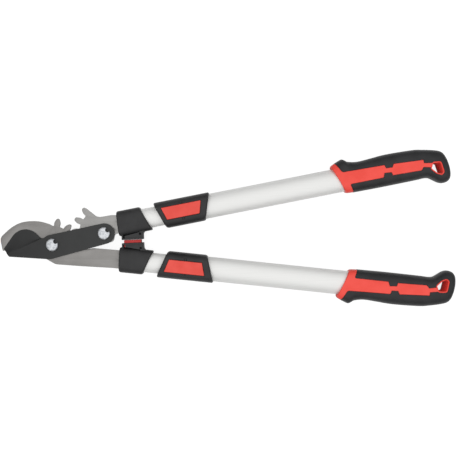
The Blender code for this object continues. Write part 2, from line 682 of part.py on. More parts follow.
def build_tubes(name, side, fixed, sliding):
    """Inner tube with stop holes and end bush, and the outer tube that slides on it."""
    section = [oval(INNER_HALF_WIDTH, INNER_HALF_DEPTH),
               oval(INNER_HALF_WIDTH - INNER_WALL, INNER_HALF_DEPTH - INNER_WALL)]
    inner = piece(name + "_inner_tube", bar(section, INNER_START, INNER_END), fixed, aluminium)
    for index in range(STOP_COUNT):
        hole = rod(STOP_HOLE_RADIUS, INNER_HALF_DEPTH - INNER_WALL - PASS, INNER_HALF_DEPTH + PASS,
                   WIDE_HOLE_SIDES)
        hole = piece(f"{name}_stop_hole_{index + 1}", hole, fixed)
        hole.location.x = LOCK_PLACE + STOP_PITCH * index
        boolean(inner, hole)
    tang = bpy.data.objects["hook_tang" if side < 0 else "upper_gear_tang"]
    reach = INNER_HALF_DEPTH + PASS
    for index, place in enumerate(RIVET_PLACES):
        hole = rod(RIVET_RADIUS + CLEARANCE, -reach, reach, HOLE_SIDES)
        hole = piece(f"{name}_rivet_hole_{index + 1}", hole, fixed)
        hole.location.x = place
        boolean(inner, hole)
        boolean(tang, hole)
        rivet = rod(RIVET_RADIUS, -INNER_HALF_DEPTH, INNER_HALF_DEPTH, HOLE_SIDES)
        rivet = piece(f"{name}_tang_rivet_{index + 1}", rivet, fixed, zinc)
        rivet.location.x = place
    bush_width = OUTER_HALF_WIDTH - OUTER_WALL - BUSH_RUN
    bush_depth = OUTER_HALF_DEPTH - OUTER_WALL - BUSH_RUN
    bush = bar([oval(bush_width, bush_depth)], INNER_END - BUSH_LENGTH, INNER_END + BUSH_CAP)
    bush = piece(name + "_tube_bush", bush, fixed, black_plastic)
    bore = bar([oval(INNER_HALF_WIDTH + CLEARANCE / 2, INNER_HALF_DEPTH + CLEARANCE / 2)],
               INNER_END - BUSH_LENGTH - PASS, INNER_END + CLEARANCE)
    boolean(bush, piece(name + "_bush_bore", bore, fixed))
    section = [oval(OUTER_HALF_WIDTH, OUTER_HALF_DEPTH),
               oval(OUTER_HALF_WIDTH - OUTER_WALL, OUTER_HALF_DEPTH - OUTER_WALL)]
    piece(name + "_outer_tube", bar(section, OUTER_START, OUTER_END), sliding, aluminium)


def window_corners(side):
    """The button's window, a trapezium whose long side lies outward."""
    corners = [(LOCK_PLACE - WINDOW_AHEAD[0], WINDOW_OUT, WINDOW_CORNER),
               (LOCK_PLACE + WINDOW_BEHIND[0], WINDOW_OUT, WINDOW_CORNER),
               (LOCK_PLACE + WINDOW_BEHIND[1], WINDOW_IN, WINDOW_CORNER),
               (LOCK_PLACE - WINDOW_AHEAD[1], WINDOW_IN, WINDOW_CORNER)]
    return sided(corners, side)


def pin_rod(radius, side, past, sides=HOLE_SIDES):
    """Rod along the rocker's axis, from past the window's outer side to past its inner one."""
    low, high = sorted((side * (WINDOW_OUT + past), side * (WINDOW_IN - past)))
    mesh = rod(radius, low, high, sides)
    mesh.transform(Matrix.Rotation(-pi / 2, 4, "X"))
    return mesh


def on_pin(name, mesh, parent, make_material=None):
    """A piece or cutter whose middle is on the rocker's axis."""
    made = piece(name, mesh, parent, make_material)
    made.location = (BUTTON_PLACE, 0.0, BUTTON_PIN_HEIGHT)
    return made


def build_collar(name, side, sliding):
    """Collar on the outer tube's end, with the button's window between two pin lugs."""
    front = [LOCK_PLACE - ahead for ahead in COLLAR_AHEAD]
    back = [LOCK_PLACE + behind for behind in COLLAR_BEHIND]
    body = sleeve(front, back, COLLAR_HALF_WIDTH, COLLAR_HALF_DEPTH, COLLAR_EDGE, side, -MID_HEIGHT,
                  COLLAR_TOP)
    collar = piece(name + "_lock_collar", body, sliding, black_plastic)
    lug = pin_rod(BUTTON_TOP - BUTTON_PIN_HEIGHT, side, BUTTON_PIN_GRIP + LUG_CAP, WIDE_HOLE_SIDES)
    boolean(collar, on_pin(name + "_pin_lugs", lug, sliding), "UNION")
    inner_bore = [oval(INNER_HALF_WIDTH + CLEARANCE, INNER_HALF_DEPTH + CLEARANCE)]
    inner_bore = bar(inner_bore, min(front) - PASS, OUTER_START + CLEARANCE)
    boolean(collar, piece(name + "_collar_front_bore", inner_bore, sliding))
    outer_bore = [oval(OUTER_HALF_WIDTH + CLEARANCE, OUTER_HALF_DEPTH + CLEARANCE)]
    outer_bore = bar(outer_bore, OUTER_START - CLEARANCE, max(back) + PASS)
    boolean(collar, piece(name + "_collar_rear_bore", outer_bore, sliding))
    window = prism([rounded(window_corners(side))], WINDOW_FLOOR, BUTTON_TOP + PASS)
    boolean(collar, piece(name + "_window", window, sliding))
    hole = rod(LOCK_PIN_RADIUS + CLEARANCE, 0.0, WINDOW_FLOOR + PASS, WIDE_HOLE_SIDES)
    hole = piece(name + "_lock_hole", hole, sliding)
    hole.location.x = LOCK_PLACE
    boolean(collar, hole)
    hole = pin_rod(BUTTON_PIN_RADIUS + CLEARANCE, side, BUTTON_PIN_GRIP + CLEARANCE)
    boolean(collar, on_pin(name + "_collar_pin_hole", hole, sliding))


def build_spring(name, sliding):
    """Leaf spring on the window's floor, with the pin that drops into a stop hole."""
    leaf_low = WINDOW_FLOOR + CLEARANCE
    leaf_top = leaf_low + LEAF_THICKNESS
    front, back = LOCK_PLACE - LEAF_AHEAD, LOCK_PLACE - LEAF_AHEAD + LEAF_LENGTH
    leaf = rounded([(front, LEAF_HALF_WIDTH, LEAF_TIP_RADIUS), (back, LEAF_HALF_WIDTH, 0),
                    (back, -LEAF_HALF_WIDTH, 0), (front, -LEAF_HALF_WIDTH, LEAF_TIP_RADIUS)])
    spring = piece(name + "_lock_spring", prism([leaf], leaf_low, leaf_top), sliding, steel)
    pin_low = INNER_HALF_DEPTH - INNER_WALL - LOCK_PIN_PLAY
    pin = rod(LOCK_PIN_RADIUS, pin_low, leaf_top + LOCK_PIN_PLAY, HOLE_SIDES)
    pin = piece(name + "_lock_pin", pin, sliding)
    pin.location.x = LOCK_PLACE
    boolean(spring, pin, "UNION")


def build_button(name, side, sliding, button_axis):
    """Rocker button in the window, and the pin that it rocks on."""
    outline = local(rounded(grown(window_corners(side), -WINDOW_GAP)), Vector((BUTTON_PLACE, 0.0)))
    button = prism([outline], BUTTON_BOTTOM - BUTTON_PIN_HEIGHT, BUTTON_TOP - BUTTON_PIN_HEIGHT)
    button = piece(name + "_lock_button", button, button_axis, red_plastic)
    edges = button.modifiers.new("edges", "BEVEL")
    edges.width = BUTTON_EDGE
    edges.segments = 2
    edges.limit_method = "ANGLE"
    edges.angle_limit = radians(60)
    hole = pin_rod(BUTTON_PIN_RADIUS + CLEARANCE, side, BUTTON_PIN_GRIP)
    boolean(button, on_pin(name + "_button_pin_hole", hole, sliding))
    on_pin(name + "_button_pin", pin_rod(BUTTON_PIN_RADIUS, side, BUTTON_PIN_GRIP), sliding, zinc)


# Grip stations in millimetres: place after the tube's end and wall over the tube on the outer side,
# the same on the inner side, and depth as a share of the full one
GRIP_STATIONS = [
    (-132.4, 2.9, -118.0, 1.2, 0.88), (-129.5, 5.6, -115.5, 2.5, 0.93), (-118.0, 10.2, -109.5, 3.0, 0.97),
    (-114.2, 11.0, -107.0, 3.0, 0.98), (-110.5, 8.9, -104.0, 3.0, 0.99), (-106.2, 6.0, -101.0, 3.0, 1.0),
    (-93.0, 3.4, -90.0, 3.0, 1.0), (-74.0, 4.3, -72.0, 3.0, 1.0), (-51.0, 5.8, -51.0, 3.1, 1.0),
    (-13.0, 4.7, -15.0, 3.1, 1.0), (1.0, 2.6, -3.0, 3.2, 1.0), (11.0, 0.5, 4.0, 4.7, 0.99),
    (20.0, -1.8, 10.6, 9.3, 0.98), (26.5, -4.4, 16.5, 13.6, 0.96), (30.6, -8.9, 22.5, 15.5, 0.92),
    (33.2, -16.4, 28.5, 14.6, 0.84), (34.6, -25.4, 32.3, 11.6, 0.68), (35.2, -31.4, 34.4, 6.6, 0.45)]

# Stations that the form under the cover runs through
BURIED_STATIONS = (1, 2, 4, 5, 6, 8, 10, 11, 12, 14, 16)

# Red region of the grip's faces, front flange and a stripe with two necks, and the hanging eye:
# place after the tube's end, distance out from the handle's axis, and corner radius
STRIPE = [(-147, 36, 0), (-131, 36, 0), (-118.5, 9.8, 4), (-58, 8.3, 0), (-56.4, 3.4, 0), (-47.6, 2.9, 0),
          (-45.1, 7.5, 0), (-2.2, 4.8, 0), (-2.2, 0.2, 0), (9.5, -1.9, 0), (9.5, -8.9, 0), (2.5, -7, 0),
          (-4, -5.6, 0), (-7.4, -9.6, 1.5), (-49, -8.5, 0), (-50.2, -3.9, 0), (-60, -3.1, 0),
          (-62.4, -9.1, 1.5), (-110.4, -9.2, 1.5), (-106.4, -21, 0), (-103, -36, 0), (-147, -36, 0)]
EYE = [(7.2, -9.6, 1.2), (10.6, -2.4, 2.2), (21, -3.3, 2.5), (22.7, -17.6, 2), (19.6, -19.7, 1.5),
       (13.6, -16.6, 3)]


def grip_outline(corners, side, growth=0.0):
    """A region of the grip's faces, grown by a distance."""
    placed = [(OUTER_END + along, out, radius) for along, out, radius in mm(corners)]
    return rounded(grown(sided(placed, side), growth))


def grip_form(side, inset, stations, sides):
    """Loft of a grip's outer form, or of the form that lies inset under it."""
    rings = []
    for index, row in enumerate(stations):
        outer_along, outer_wall, inner_along, inner_wall = mm([row[:4]])[0]
        end_inset = inset * ((index == 0) - (index == len(stations) - 1))
        outer = Vector((OUTER_END + outer_along + end_inset, side * (OUTER_HALF_WIDTH + outer_wall), 0.0))
        inner = Vector((OUTER_END + inner_along + end_inset, -side * (OUTER_HALF_WIDTH + inner_wall), 0.0))
        half = (outer - inner) / 2
        half -= half.normalized() * inset
        depth = GRIP_HALF_DEPTH * row[4] - inset
        ring = []
        for step in range(sides):
            turn = 2 * pi * step / sides
            wide = swell(cos(turn), GRIP_ROUNDNESS)
            height = depth * swell(sin(turn), GRIP_ROUNDNESS)
            ring.append((outer + inner) / 2 + half * wide + Vector((0.0, 0.0, height)))
        rings.append(ring)
    return loft(rings)


def red_region(name, side, growth, parent):
    """Guide through the full depth where the red core shows."""
    reach = GRIP_HALF_DEPTH + PASS
    made = piece(name, prism([grip_outline(STRIPE, side, growth)], -reach, reach), parent)
    lining = prism([grip_outline(EYE, side, EYE_LINING + growth)], -reach, reach)
    boolean(made, piece(name + "_lining", lining, parent), "UNION")
    return made


def build_grip(name, side, sliding):
    """Red hard core round the tube's end, and the black soft cover moulded over it."""
    buried = [GRIP_STATIONS[index] for index in BURIED_STATIONS]
    core = grip_form(side, 0.0, GRIP_STATIONS, RING_SIDES)
    core = piece(name + "_grip_core", core, sliding, red_plastic)
    boolean(core, red_region(name + "_red_region", side, 0.0, sliding), "INTERSECT")
    under = grip_form(side, COVER_WALL + 2 * CLEARANCE, buried, BURIED_SIDES)
    boolean(core, piece(name + "_core_body", under, sliding), "UNION")
    bore = [oval(OUTER_HALF_WIDTH + CLEARANCE, OUTER_HALF_DEPTH + CLEARANCE)]
    bore = bar(bore, OUTER_END + GRIP_STATIONS[0][0] * MILLIMETRE - PASS, OUTER_END + CLEARANCE)
    boolean(core, piece(name + "_core_bore", bore, sliding))
    reach = GRIP_HALF_DEPTH + PASS
    boolean(core, piece(name + "_eye", prism([grip_outline(EYE, side)], -reach, reach), sliding))
    cover = grip_form(side, 0.0, GRIP_STATIONS, RING_SIDES)
    cover = piece(name + "_grip_cover", cover, sliding, black_rubber)
    hollow = grip_form(side, COVER_WALL, buried, BURIED_SIDES)
    boolean(cover, piece(name + "_cover_hollow", hollow, sliding))
    boolean(cover, red_region(name + "_red_gap", side, CLEARANCE, sliding))


def build_handle(name, side, parent, origin):
    """One handle; side is 1 for the upper handle and -1 for the lower one."""
    turn = radians(HANDLE_ANGLE)
    foot = Vector((-HANDLE_OFFSET * sin(turn), side * HANDLE_OFFSET * cos(turn)))
    fixed = empty(name + "_handle", (*(foot - origin), 0.0), parent, side * HANDLE_ANGLE)
    sliding = empty(name + "_slide", (0.0, 0.0, 0.0), fixed)
    button_axis = empty(name + "_button_axis", (BUTTON_PLACE, 0.0, BUTTON_PIN_HEIGHT), sliding)
    build_ferrule(name, side, fixed)
    build_tubes(name, side, fixed, sliding)
    build_collar(name, side, sliding)
    build_spring(name, sliding)
    build_button(name, side, sliding, button_axis)
    build_grip(name, side, sliding)
    if side < 0:
        pad = prism([pad_outline(0.0)], -PAD_HALF_DEPTH, PAD_HALF_DEPTH)
        piece("bumper_pad", pad, fixed, red_plastic)


clear_scene()
parts = collection("telescopic_lopper")
cutters = collection("cutters")
tool = empty("tool", (PIVOT_X, 0.0, MID_HEIGHT))
main_pivot = empty("main_pivot", (0.0, 0.0, 0.0), tool)
gear_pivot = empty("gear_pivot", (*GEAR_PIVOT, 0.0), main_pivot)
gear_pivot_bolts = empty("gear_pivot_bolts", (*GEAR_PIVOT, 0.0), main_pivot)
build_head()
build_handle("lower", -1, tool, PIVOT)
build_handle("upper", 1, gear_pivot, GEAR_PIVOT)
bpy.context.view_layer.update()
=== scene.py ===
# %% [markdown]
# A telescopic lopper, dressed around its fixed model
#
# The tool lies on its side: dark blade and grey hook at the left, two silver oval tubes
# with plastic locks, and two-colour grips at the right. The fixed model gives every
# place and size. This notebook gives the surfaces: it loads the model, copies or rebuilds
# each piece finely enough to look moulded, ground or extruded, and mixes a finish for each.

from math import atan2, copysign, cos, pi, radians, sin, tan

import bmesh
import bpy
from mathutils import Matrix, Vector


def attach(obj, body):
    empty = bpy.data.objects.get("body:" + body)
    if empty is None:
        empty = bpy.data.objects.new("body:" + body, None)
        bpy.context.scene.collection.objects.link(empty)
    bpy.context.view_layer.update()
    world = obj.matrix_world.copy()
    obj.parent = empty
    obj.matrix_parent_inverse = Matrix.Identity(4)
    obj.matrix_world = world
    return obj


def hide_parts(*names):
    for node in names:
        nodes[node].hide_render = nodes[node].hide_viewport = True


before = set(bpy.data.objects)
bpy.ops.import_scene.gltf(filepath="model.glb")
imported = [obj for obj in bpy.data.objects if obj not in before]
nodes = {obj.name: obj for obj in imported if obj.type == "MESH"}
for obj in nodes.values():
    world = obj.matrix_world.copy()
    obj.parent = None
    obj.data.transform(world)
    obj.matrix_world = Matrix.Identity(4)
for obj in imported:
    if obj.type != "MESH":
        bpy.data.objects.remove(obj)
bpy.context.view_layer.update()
print("nodes in the model:", len(nodes))

# %% [markdown]
# Where things are
#
# Two frames are enough. The tool's own frame has the main pivot at a known place over the
# floor. Each handle has a frame that starts near the pivot and leans away from the middle
# line: x runs along the tube, y points away from the other handle and z points up. The
# lower handle is the mirror image of the upper one, so its matrix holds a minus sign, and
# any mesh that goes through it must be turned right side out again.

# %% The two handle frames
PIVOT = Vector((-0.2505, 0.0, 0.016))
HANDLE_ANGLE = radians(8.555)
HANDLE_OFFSET = 0.01125


def handle_frame(side):
    """Matrix from a handle's own frame to the tool; side is 1 for the upper handle, else -1."""
    lean = Matrix.Rotation(HANDLE_ANGLE, 4, "Z") @ Matrix.Translation((0.0, HANDLE_OFFSET, 0.0))
    return Matrix.Translation(PIVOT) @ Matrix.Diagonal((1.0, side, 1.0, 1.0)) @ lean


HANDLES = {"upper": handle_frame(1), "lower": handle_frame(-1)}
print("the upper handle's frame starts at", HANDLES["upper"].translation)

# %% [markdown]
# Camera
#
# The photograph looks straight down on the tool from about a metre, with the tool turned
# a little under three degrees against the picture's edge. The lens follows from that
# height and from how much of the pivot's level the picture takes in.

# %% Camera straight above
FRAME_WIDTH = 0.6576
CAMERA_HEIGHT = 1.0
CAMERA_PLACE = (0.0021, 0.0126, PIVOT.z + CAMERA_HEIGHT)
CAMERA_TURN = radians(-2.635)
SENSOR = 36.0

lens = bpy.data.cameras.new("camera")
lens.sensor_width = SENSOR
lens.lens = SENSOR * CAMERA_HEIGHT / FRAME_WIDTH
camera = bpy.data.objects.new("camera", lens)
camera.location = CAMERA_PLACE
camera.rotation_euler = (0.0, 0.0, CAMERA_TURN)
bpy.context.scene.collection.objects.link(camera)
bpy.context.scene.camera = camera
print("lens in millimetres:", round(lens.lens, 1))

# %% [markdown]
# Nodes and colours
#
# Sky, floor and finishes are all built from shader nodes. One function adds a node of any
# kind. Another turns a colour, as picked from a screen, into the light values that
# shaders add up.


# %% One function that adds a node, and one for colours
def add_node(tree, kind, inputs=None, **settings):
    """Adds a shader node, sets its fields, and fills or links its inputs."""
    node = tree.nodes.new(kind)
    for name, value in settings.items():
        setattr(node, name, value)
    for name, value in (inputs or {}).items():
        if isinstance(value, bpy.types.NodeSocket):
            tree.links.new(value, node.inputs[name])
        else:
            node.inputs[name].default_value = value
    return node


def linear(hex_code):
    """An sRGB hex code as a linear colour with full opacity."""
    channels = [int(hex_code[start:start + 2], 16) / 255 for start in (1, 3, 5)]
    return (*[c / 12.92 if c <= 0.04045 else ((c + 0.055) / 1.055) ** 2.4 for c in channels], 1.0)


print("screen grey #808080 is", round(linear("#808080")[0], 3), "of full light")

# %% [markdown]
# Light
#
# A soft sky that is bright overhead and greyer towards the horizon does what a light tent
# does: a tube shows a bright middle and grey sides. One large lamp, nearly overhead,
# gives the shapes a direction and the shadow a soft edge.

# %% Sky like a light tent
HORIZON_GREY = "#7E7E80"
ZENITH_WHITE = "#FFFFFF"
WHITE_FROM = 0.75
SKY_STRENGTH = 0.86

world = bpy.data.worlds.new("light_tent")
world.use_nodes = True
bpy.context.scene.world = world
sky = world.node_tree
background = sky.nodes["Background"]
direction = add_node(sky, "ShaderNodeTexCoord")
upward = add_node(sky, "ShaderNodeSeparateXYZ", {"Vector": direction.outputs["Generated"]})
tent = add_node(sky, "ShaderNodeValToRGB", {"Fac": upward.outputs["Z"]})
tent.color_ramp.elements[0].color = linear(HORIZON_GREY)
tent.color_ramp.elements[1].color = linear(ZENITH_WHITE)
tent.color_ramp.elements[1].position = WHITE_FROM
sky.links.new(tent.outputs["Color"], background.inputs["Color"])
background.inputs["Strength"].default_value = SKY_STRENGTH
print("sky from", HORIZON_GREY, "to", ZENITH_WHITE)

# %% Lamp nearly overhead
LAMP_SIZE = 2.4
LAMP_POWER = 10.0
LAMP_PLACE = Vector((0.05, -0.15, 1.4))

lamp = bpy.data.lights.new("softbox", "AREA")
lamp.size = LAMP_SIZE
lamp.energy = LAMP_POWER
softbox = bpy.data.objects.new("softbox", lamp)
softbox.location = LAMP_PLACE
softbox.rotation_euler = (-LAMP_PLACE).to_track_quat("-Z", "Y").to_euler()
bpy.context.scene.collection.objects.link(softbox)
print("lamp", LAMP_SIZE, "metres square")

# %% [markdown]
# Floor
#
# The floor is plain pale paper. A glow lifts its grey to white for the camera and casts no
# extra light on the tool, and the light that falls on the grey still draws a soft shadow.
# Metal mirrors the floor, so mirrored rays see the glow too, except close under the tool,
# where ambient occlusion holds it back.

# %% White floor that keeps the shadow
FLOOR_HALF = 20.0
FLOOR_GREY = "#868686"
PAPER_ROUGHNESS = 0.9
FLOOR_GLOW = 0.88
SHADOW_REACH = 0.03

sheet = bmesh.new()
bmesh.ops.create_grid(sheet, x_segments=1, y_segments=1, size=FLOOR_HALF)
floor_mesh = bpy.data.meshes.new("floor")
sheet.to_mesh(floor_mesh)
sheet.free()
floor = bpy.data.objects.new("floor", floor_mesh)
bpy.context.scene.collection.objects.link(floor)
paper = bpy.data.materials.new("white_paper")
paper.use_nodes = True
tree = paper.node_tree
shader = tree.nodes["Principled BSDF"]
shader.inputs["Base Color"].default_value = linear(FLOOR_GREY)
shader.inputs["Roughness"].default_value = PAPER_ROUGHNESS
shader.inputs["Emission Color"].default_value = linear("#FFFFFF")
path = add_node(tree, "ShaderNodeLightPath")
open_floor = add_node(tree, "ShaderNodeAmbientOcclusion", {"Distance": SHADOW_REACH})
mirrored = add_node(tree, "ShaderNodeMath", operation="MULTIPLY",
                    inputs={0: path.outputs["Is Glossy Ray"], 1: open_floor.outputs["AO"]})
seen = add_node(tree, "ShaderNodeMath", operation="MAXIMUM",
                inputs={0: path.outputs["Is Camera Ray"], 1: mirrored.outputs[0]})
glow = add_node(tree, "ShaderNodeMath", {0: seen.outputs[0], 1: FLOOR_GLOW}, operation="MULTIPLY")
tree.links.new(glow.outputs[0], shader.inputs["Emission Strength"])
floor_mesh.materials.append(paper)
print("floor", 2 * FLOOR_HALF, "metres across")

# %% [markdown]
# Finishes
#
# Each finish starts from what the real surface is. Cloudy patterns in real millimetres
# give the slight unevenness that rolling, grinding, moulding or coating leaves. One
# pattern moves the colour between two near tones. A finer one varies the roughness and
# raises the surface by a hundredth of a millimetre or a few. What all finishes share
# stands here, and each finish below says what it does with it.


# %% What every finish shares
def new_finish(name, metallic=0.0):
    """A new material with its node tree and its shader."""
    material = bpy.data.materials.new(name)
    material.use_nodes = True
    tree = material.node_tree
    shader = tree.nodes["Principled BSDF"]
    shader.inputs["Metallic"].default_value = metallic
    return material, tree, shader


def lumps(tree, size, detail=3.0, stretch=1.0, turn=0.0):
    """A pattern with lumps about size metres across, drawn out along turn by a small stretch."""
    coordinates = add_node(tree, "ShaderNodeTexCoord")
    laid = add_node(tree, "ShaderNodeMapping", {
        "Vector": coordinates.outputs["Object"], "Rotation": (0.0, 0.0, -turn), "Scale": (stretch, 1.0, 1.0)})
    pattern = add_node(tree, "ShaderNodeTexNoise", {
        "Vector": laid.outputs["Vector"], "Scale": 1.0 / size, "Detail": detail})
    return pattern.outputs["Fac"]


def surface(tree, shader, tone, tones, grain, roughness, relief, stops=(0.0, 1.0)):
    """Colour from one pattern, with roughness and a relief in metres from another."""
    greys = [(level, level, level, 1.0) for level in roughness]
    for pattern, colours, marks, socket in (
            (tone, [linear(hex_code) for hex_code in tones], stops, "Base Color"),
            (grain, greys, (0.0, 1.0), "Roughness")):
        ramp = add_node(tree, "ShaderNodeValToRGB", {"Fac": pattern})
        for element, colour, mark in zip(ramp.color_ramp.elements, colours, marks):
            element.color = colour
            element.position = mark
        tree.links.new(ramp.outputs["Color"], shader.inputs[socket])
    raised = add_node(tree, "ShaderNodeBump", {"Height": grain, "Distance": relief, "Strength": 1.0})
    tree.links.new(raised.outputs["Normal"], shader.inputs["Normal"])


# %% [markdown]
# Ground steel
#
# The hook and the tangs are blanked from sheet and ground. Grinding leaves fine lines
# along the handle, and over them the eye sees faint clouds. Real lines are 0.05 mm apart,
# too fine to see from here, so they are drawn 0.8 mm apart and very faint. The leaf
# springs are brighter strip steel with lines of the same kind.

# %% Ground steel finish
GRIND_PITCH = 0.0008
STEEL_CLOUDS = 0.02


def ground_steel(name, tones, turn):
    """Satin steel with grinding lines that run along turn."""
    material, tree, shader = new_finish(name, metallic=1.0)
    lines = lumps(tree, GRIND_PITCH, stretch=0.012, turn=turn)
    clouds = lumps(tree, STEEL_CLOUDS, 2.0)
    both = add_node(tree, "ShaderNodeMix", {"Factor": 0.5, "A": lines, "B": clouds})
    surface(tree, shader, both.outputs["Result"], tones, lines, roughness=(0.36, 0.5), relief=0.000012,
            stops=(0.3, 0.7))
    return material


hook_steel = ground_steel("ground_hook_steel", ("#807E7C", "#8D8B89"), -HANDLE_ANGLE)
tang_steel = ground_steel("ground_tang_steel", ("#91908E", "#9C9B99"), HANDLE_ANGLE)
spring_steel = ground_steel("bright_spring_steel", ("#8E9092", "#B4B6B8"), 0.0)
print("steels:", hook_steel.name, tang_steel.name, spring_steel.name)

# %% [markdown]
# Coated blade
#
# The blade wears a dark low-friction coating, sprayed and baked. It is a satin paint more
# than a metal: a faint grain, and a sheen that lightens it where it turns away. Its resin
# is a fluoropolymer, which bends light less than most paints and so shines less. A painted
# shade makes it darker towards the blade's tip and paler along the strap. The
# sprayed grain is finer than it is drawn here, 0.9 mm, so that it shows. The
# rockers' pins are blackened steel, which looks much the same.

# %% Blade coating finish
COATING_GRAIN = 0.0009
COATING_CLOUDS = 0.012
COATING_IOR = 1.4
# painted shade: from the blade's tip to the strap the coating goes from dark to paler
BLADE_TIP_X = -0.325
STRAP_X = -0.225
STRAP_PAINTED_LIFT = 0.75
CLOUD_SHARE = 0.35


def blade_coating(name):
    """Baked dark coating with a fine grain, and painted shade that darkens it towards the blade's tip."""
    material, tree, shader = new_finish(name)
    grain = lumps(tree, COATING_GRAIN)
    clouds = lumps(tree, COATING_CLOUDS)
    coordinates = add_node(tree, "ShaderNodeTexCoord")
    split = add_node(tree, "ShaderNodeSeparateXYZ", {"Vector": coordinates.outputs["Object"]})
    # painted shade along the blade, darkest at the tip and paler at the strap
    along = add_node(tree, "ShaderNodeMapRange", {
        "Value": split.outputs["X"], "From Min": BLADE_TIP_X, "From Max": STRAP_X,
        "To Min": 0.0, "To Max": STRAP_PAINTED_LIFT})
    mixed = add_node(tree, "ShaderNodeMath", {0: clouds, 1: CLOUD_SHARE, 2: along.outputs["Result"]},
                     operation="MULTIPLY_ADD")
    surface(tree, shader, mixed.outputs[0], ("#101011", "#2C2D2D"), grain, roughness=(0.4, 0.52),
            relief=0.00003)
    shader.inputs["IOR"].default_value = COATING_IOR
    return material


coating = blade_coating("baked_blade_coating")
blackened = blade_coating("blackened_pin_steel")
print("coatings:", coating.name, blackened.name)

# %% [markdown]
# Zinc plate
#
# Bolts, washers, nuts and rivets are zinc plated. The plate is bright with a mottled
# bloom, which two patterns of unlike size give together.

# %% Zinc finish
BLOOM = 0.0034
ZINC_GRAIN = 0.0012


def zinc_plate(name):
    """Bright zinc with a mottled bloom."""
    material, tree, shader = new_finish(name, metallic=1.0)
    bloom = lumps(tree, BLOOM, 2.0)
    fine = lumps(tree, ZINC_GRAIN, 4.0)
    both = add_node(tree, "ShaderNodeMix", {"Factor": 0.5, "A": bloom, "B": fine})
    surface(tree, shader, both.outputs["Result"], ("#9A9DA1", "#C6C8CB"), fine, roughness=(0.25, 0.42),
            relief=0.00004, stops=(0.38, 0.56))
    return material


zinc = zinc_plate("mottled_zinc_plate")
print("plate:", zinc.name)

# %% [markdown]
# Silver tubes
#
# Extruded aluminium, etched and clear anodised. Under its clear film the etched metal
# scatters much of the light, so it is mixed from a third metal and two thirds pale
# ground: a soft mirror, shaded mostly by the light tent. Extrusion lines run the tube's
# length, very faint, and are drawn 1.2 mm apart because real ones are too fine to show.
# The inner tubes get a shade brighter tones: painted light that lifts the shade they lie in between ferrule
# and collar.

# %% Anodised tube finish
EXTRUSION_PITCH = 0.0012
# the inner tubes' brighter tones are painted light against the shade between ferrule and collar
TUBE_TONES = {"inner": ("#E2E2E0", "#ECECEA"), "outer": ("#DEDEDC", "#E8E8E6")}


def anodised(name, tones, turn):
    """Satin aluminium with extrusion lines that run along turn."""
    material, tree, shader = new_finish(name, metallic=0.35)
    lines = lumps(tree, EXTRUSION_PITCH, 2.0, stretch=0.01, turn=turn)
    surface(tree, shader, lines, tones, lines, roughness=(0.45, 0.54), relief=0.00001)
    return material


tube_finishes = {f"{side}_{part}_tube": anodised(f"anodised_{side}_{part}_tube", tones, turn)
                 for side, turn in (("upper", HANDLE_ANGLE), ("lower", -HANDLE_ANGLE))
                 for part, tones in TUBE_TONES.items()}
print("tube finishes:", len(tube_finishes))

# %% [markdown]
# Moulded plastics and rubber
#
# Glass-filled black nylon in the ferrules, collars and bushes, hard red polypropylene in
# the grips' core and the buttons, a soft black elastomer moulded over the core, and red
# rubber in the buffer. All take the mould's spark-eroded grain, about 0.3 mm on the real
# tool and drawn at 0.6 mm so that it shows. The colour drifts a little from place to
# place, as it does where the melt flowed.

# %% Moulded finishes
MOULD_GRAIN = 0.0006
MOULD_CLOUDS = 0.018


def moulded(name, tones, roughness, relief, shine):
    """Moulded polymer with a spark-eroded grain and slow changes of tone."""
    material, tree, shader = new_finish(name)
    grain = lumps(tree, MOULD_GRAIN, 2.0)
    clouds = lumps(tree, MOULD_CLOUDS, 2.0)
    surface(tree, shader, clouds, tones, grain, roughness, relief, stops=(0.35, 0.65))
    shader.inputs["Specular IOR Level"].default_value = shine
    return material


nylon = moulded("glass_filled_nylon", ("#1B1B1C", "#252526"), (0.42, 0.55), 0.00004, 0.4)
polypropylene = moulded("red_polypropylene", ("#EE493D", "#F45146"), (0.38, 0.48), 0.00002, 0.3)
button_red = moulded("red_button_polypropylene", ("#E2493E", "#EA5348"), (0.38, 0.48), 0.00002, 0.3)
elastomer = moulded("soft_black_elastomer", ("#151618", "#1F2022"), (0.42, 0.55), 0.00006, 0.4)
buffer_rubber = moulded("red_buffer_rubber", ("#B42E2D", "#BE3837"), (0.5, 0.65), 0.00004, 0.3)
print("mouldings:", [made.name for made in (nylon, polypropylene, button_red, elastomer, buffer_rubber)])

# %% [markdown]
# A finish for every node
#
# Every node of the model gets a finish first, also those that finer pieces replace later.
# A word in the node's name says which.

# %% Finishes on the model's own nodes
FINISHES = {**tube_finishes, "bumper_pad": buffer_rubber, "spring": spring_steel, "button_pin": blackened,
            "lock_button": button_red, "grip_core": polypropylene, "grip_cover": elastomer,
            "hook_tang": hook_steel, "gear_tang": tang_steel, "cutting_blade": coating,
            "rear_link": coating, "ferrule": nylon, "bush": nylon, "collar": nylon,
            "rivet": zinc, "bolt": zinc, "washer": zinc, "nut": zinc}


def finish_of(name):
    """The finish that a node's name asks for."""
    return next(material for word, material in FINISHES.items() if word in name)


for name, node in nodes.items():
    node.data.materials.clear()
    node.data.materials.append(finish_of(name))
print("finished nodes:", len(nodes))

# %% [markdown]
# How a piece is made
#
# Most pieces start as a bmesh, go through a few Booleans, and end as an object that rides
# on a body of the model and stands for one of its nodes. Operators may list the same
# corners and faces in another order the next time, and an exact Boolean can then split a
# face in another way, so `settled` lists them by their places before every cut. That way
# each run gives the same mesh.

# %% Meshes in a settled order
JOIN = 0.000002


def to_mesh(name, shape):
    """The bmesh as a mesh, with its faces turned outward."""
    bmesh.ops.recalc_face_normals(shape, faces=shape.faces)
    mesh = bpy.data.meshes.new(name)
    shape.to_mesh(mesh)
    shape.free()
    return mesh


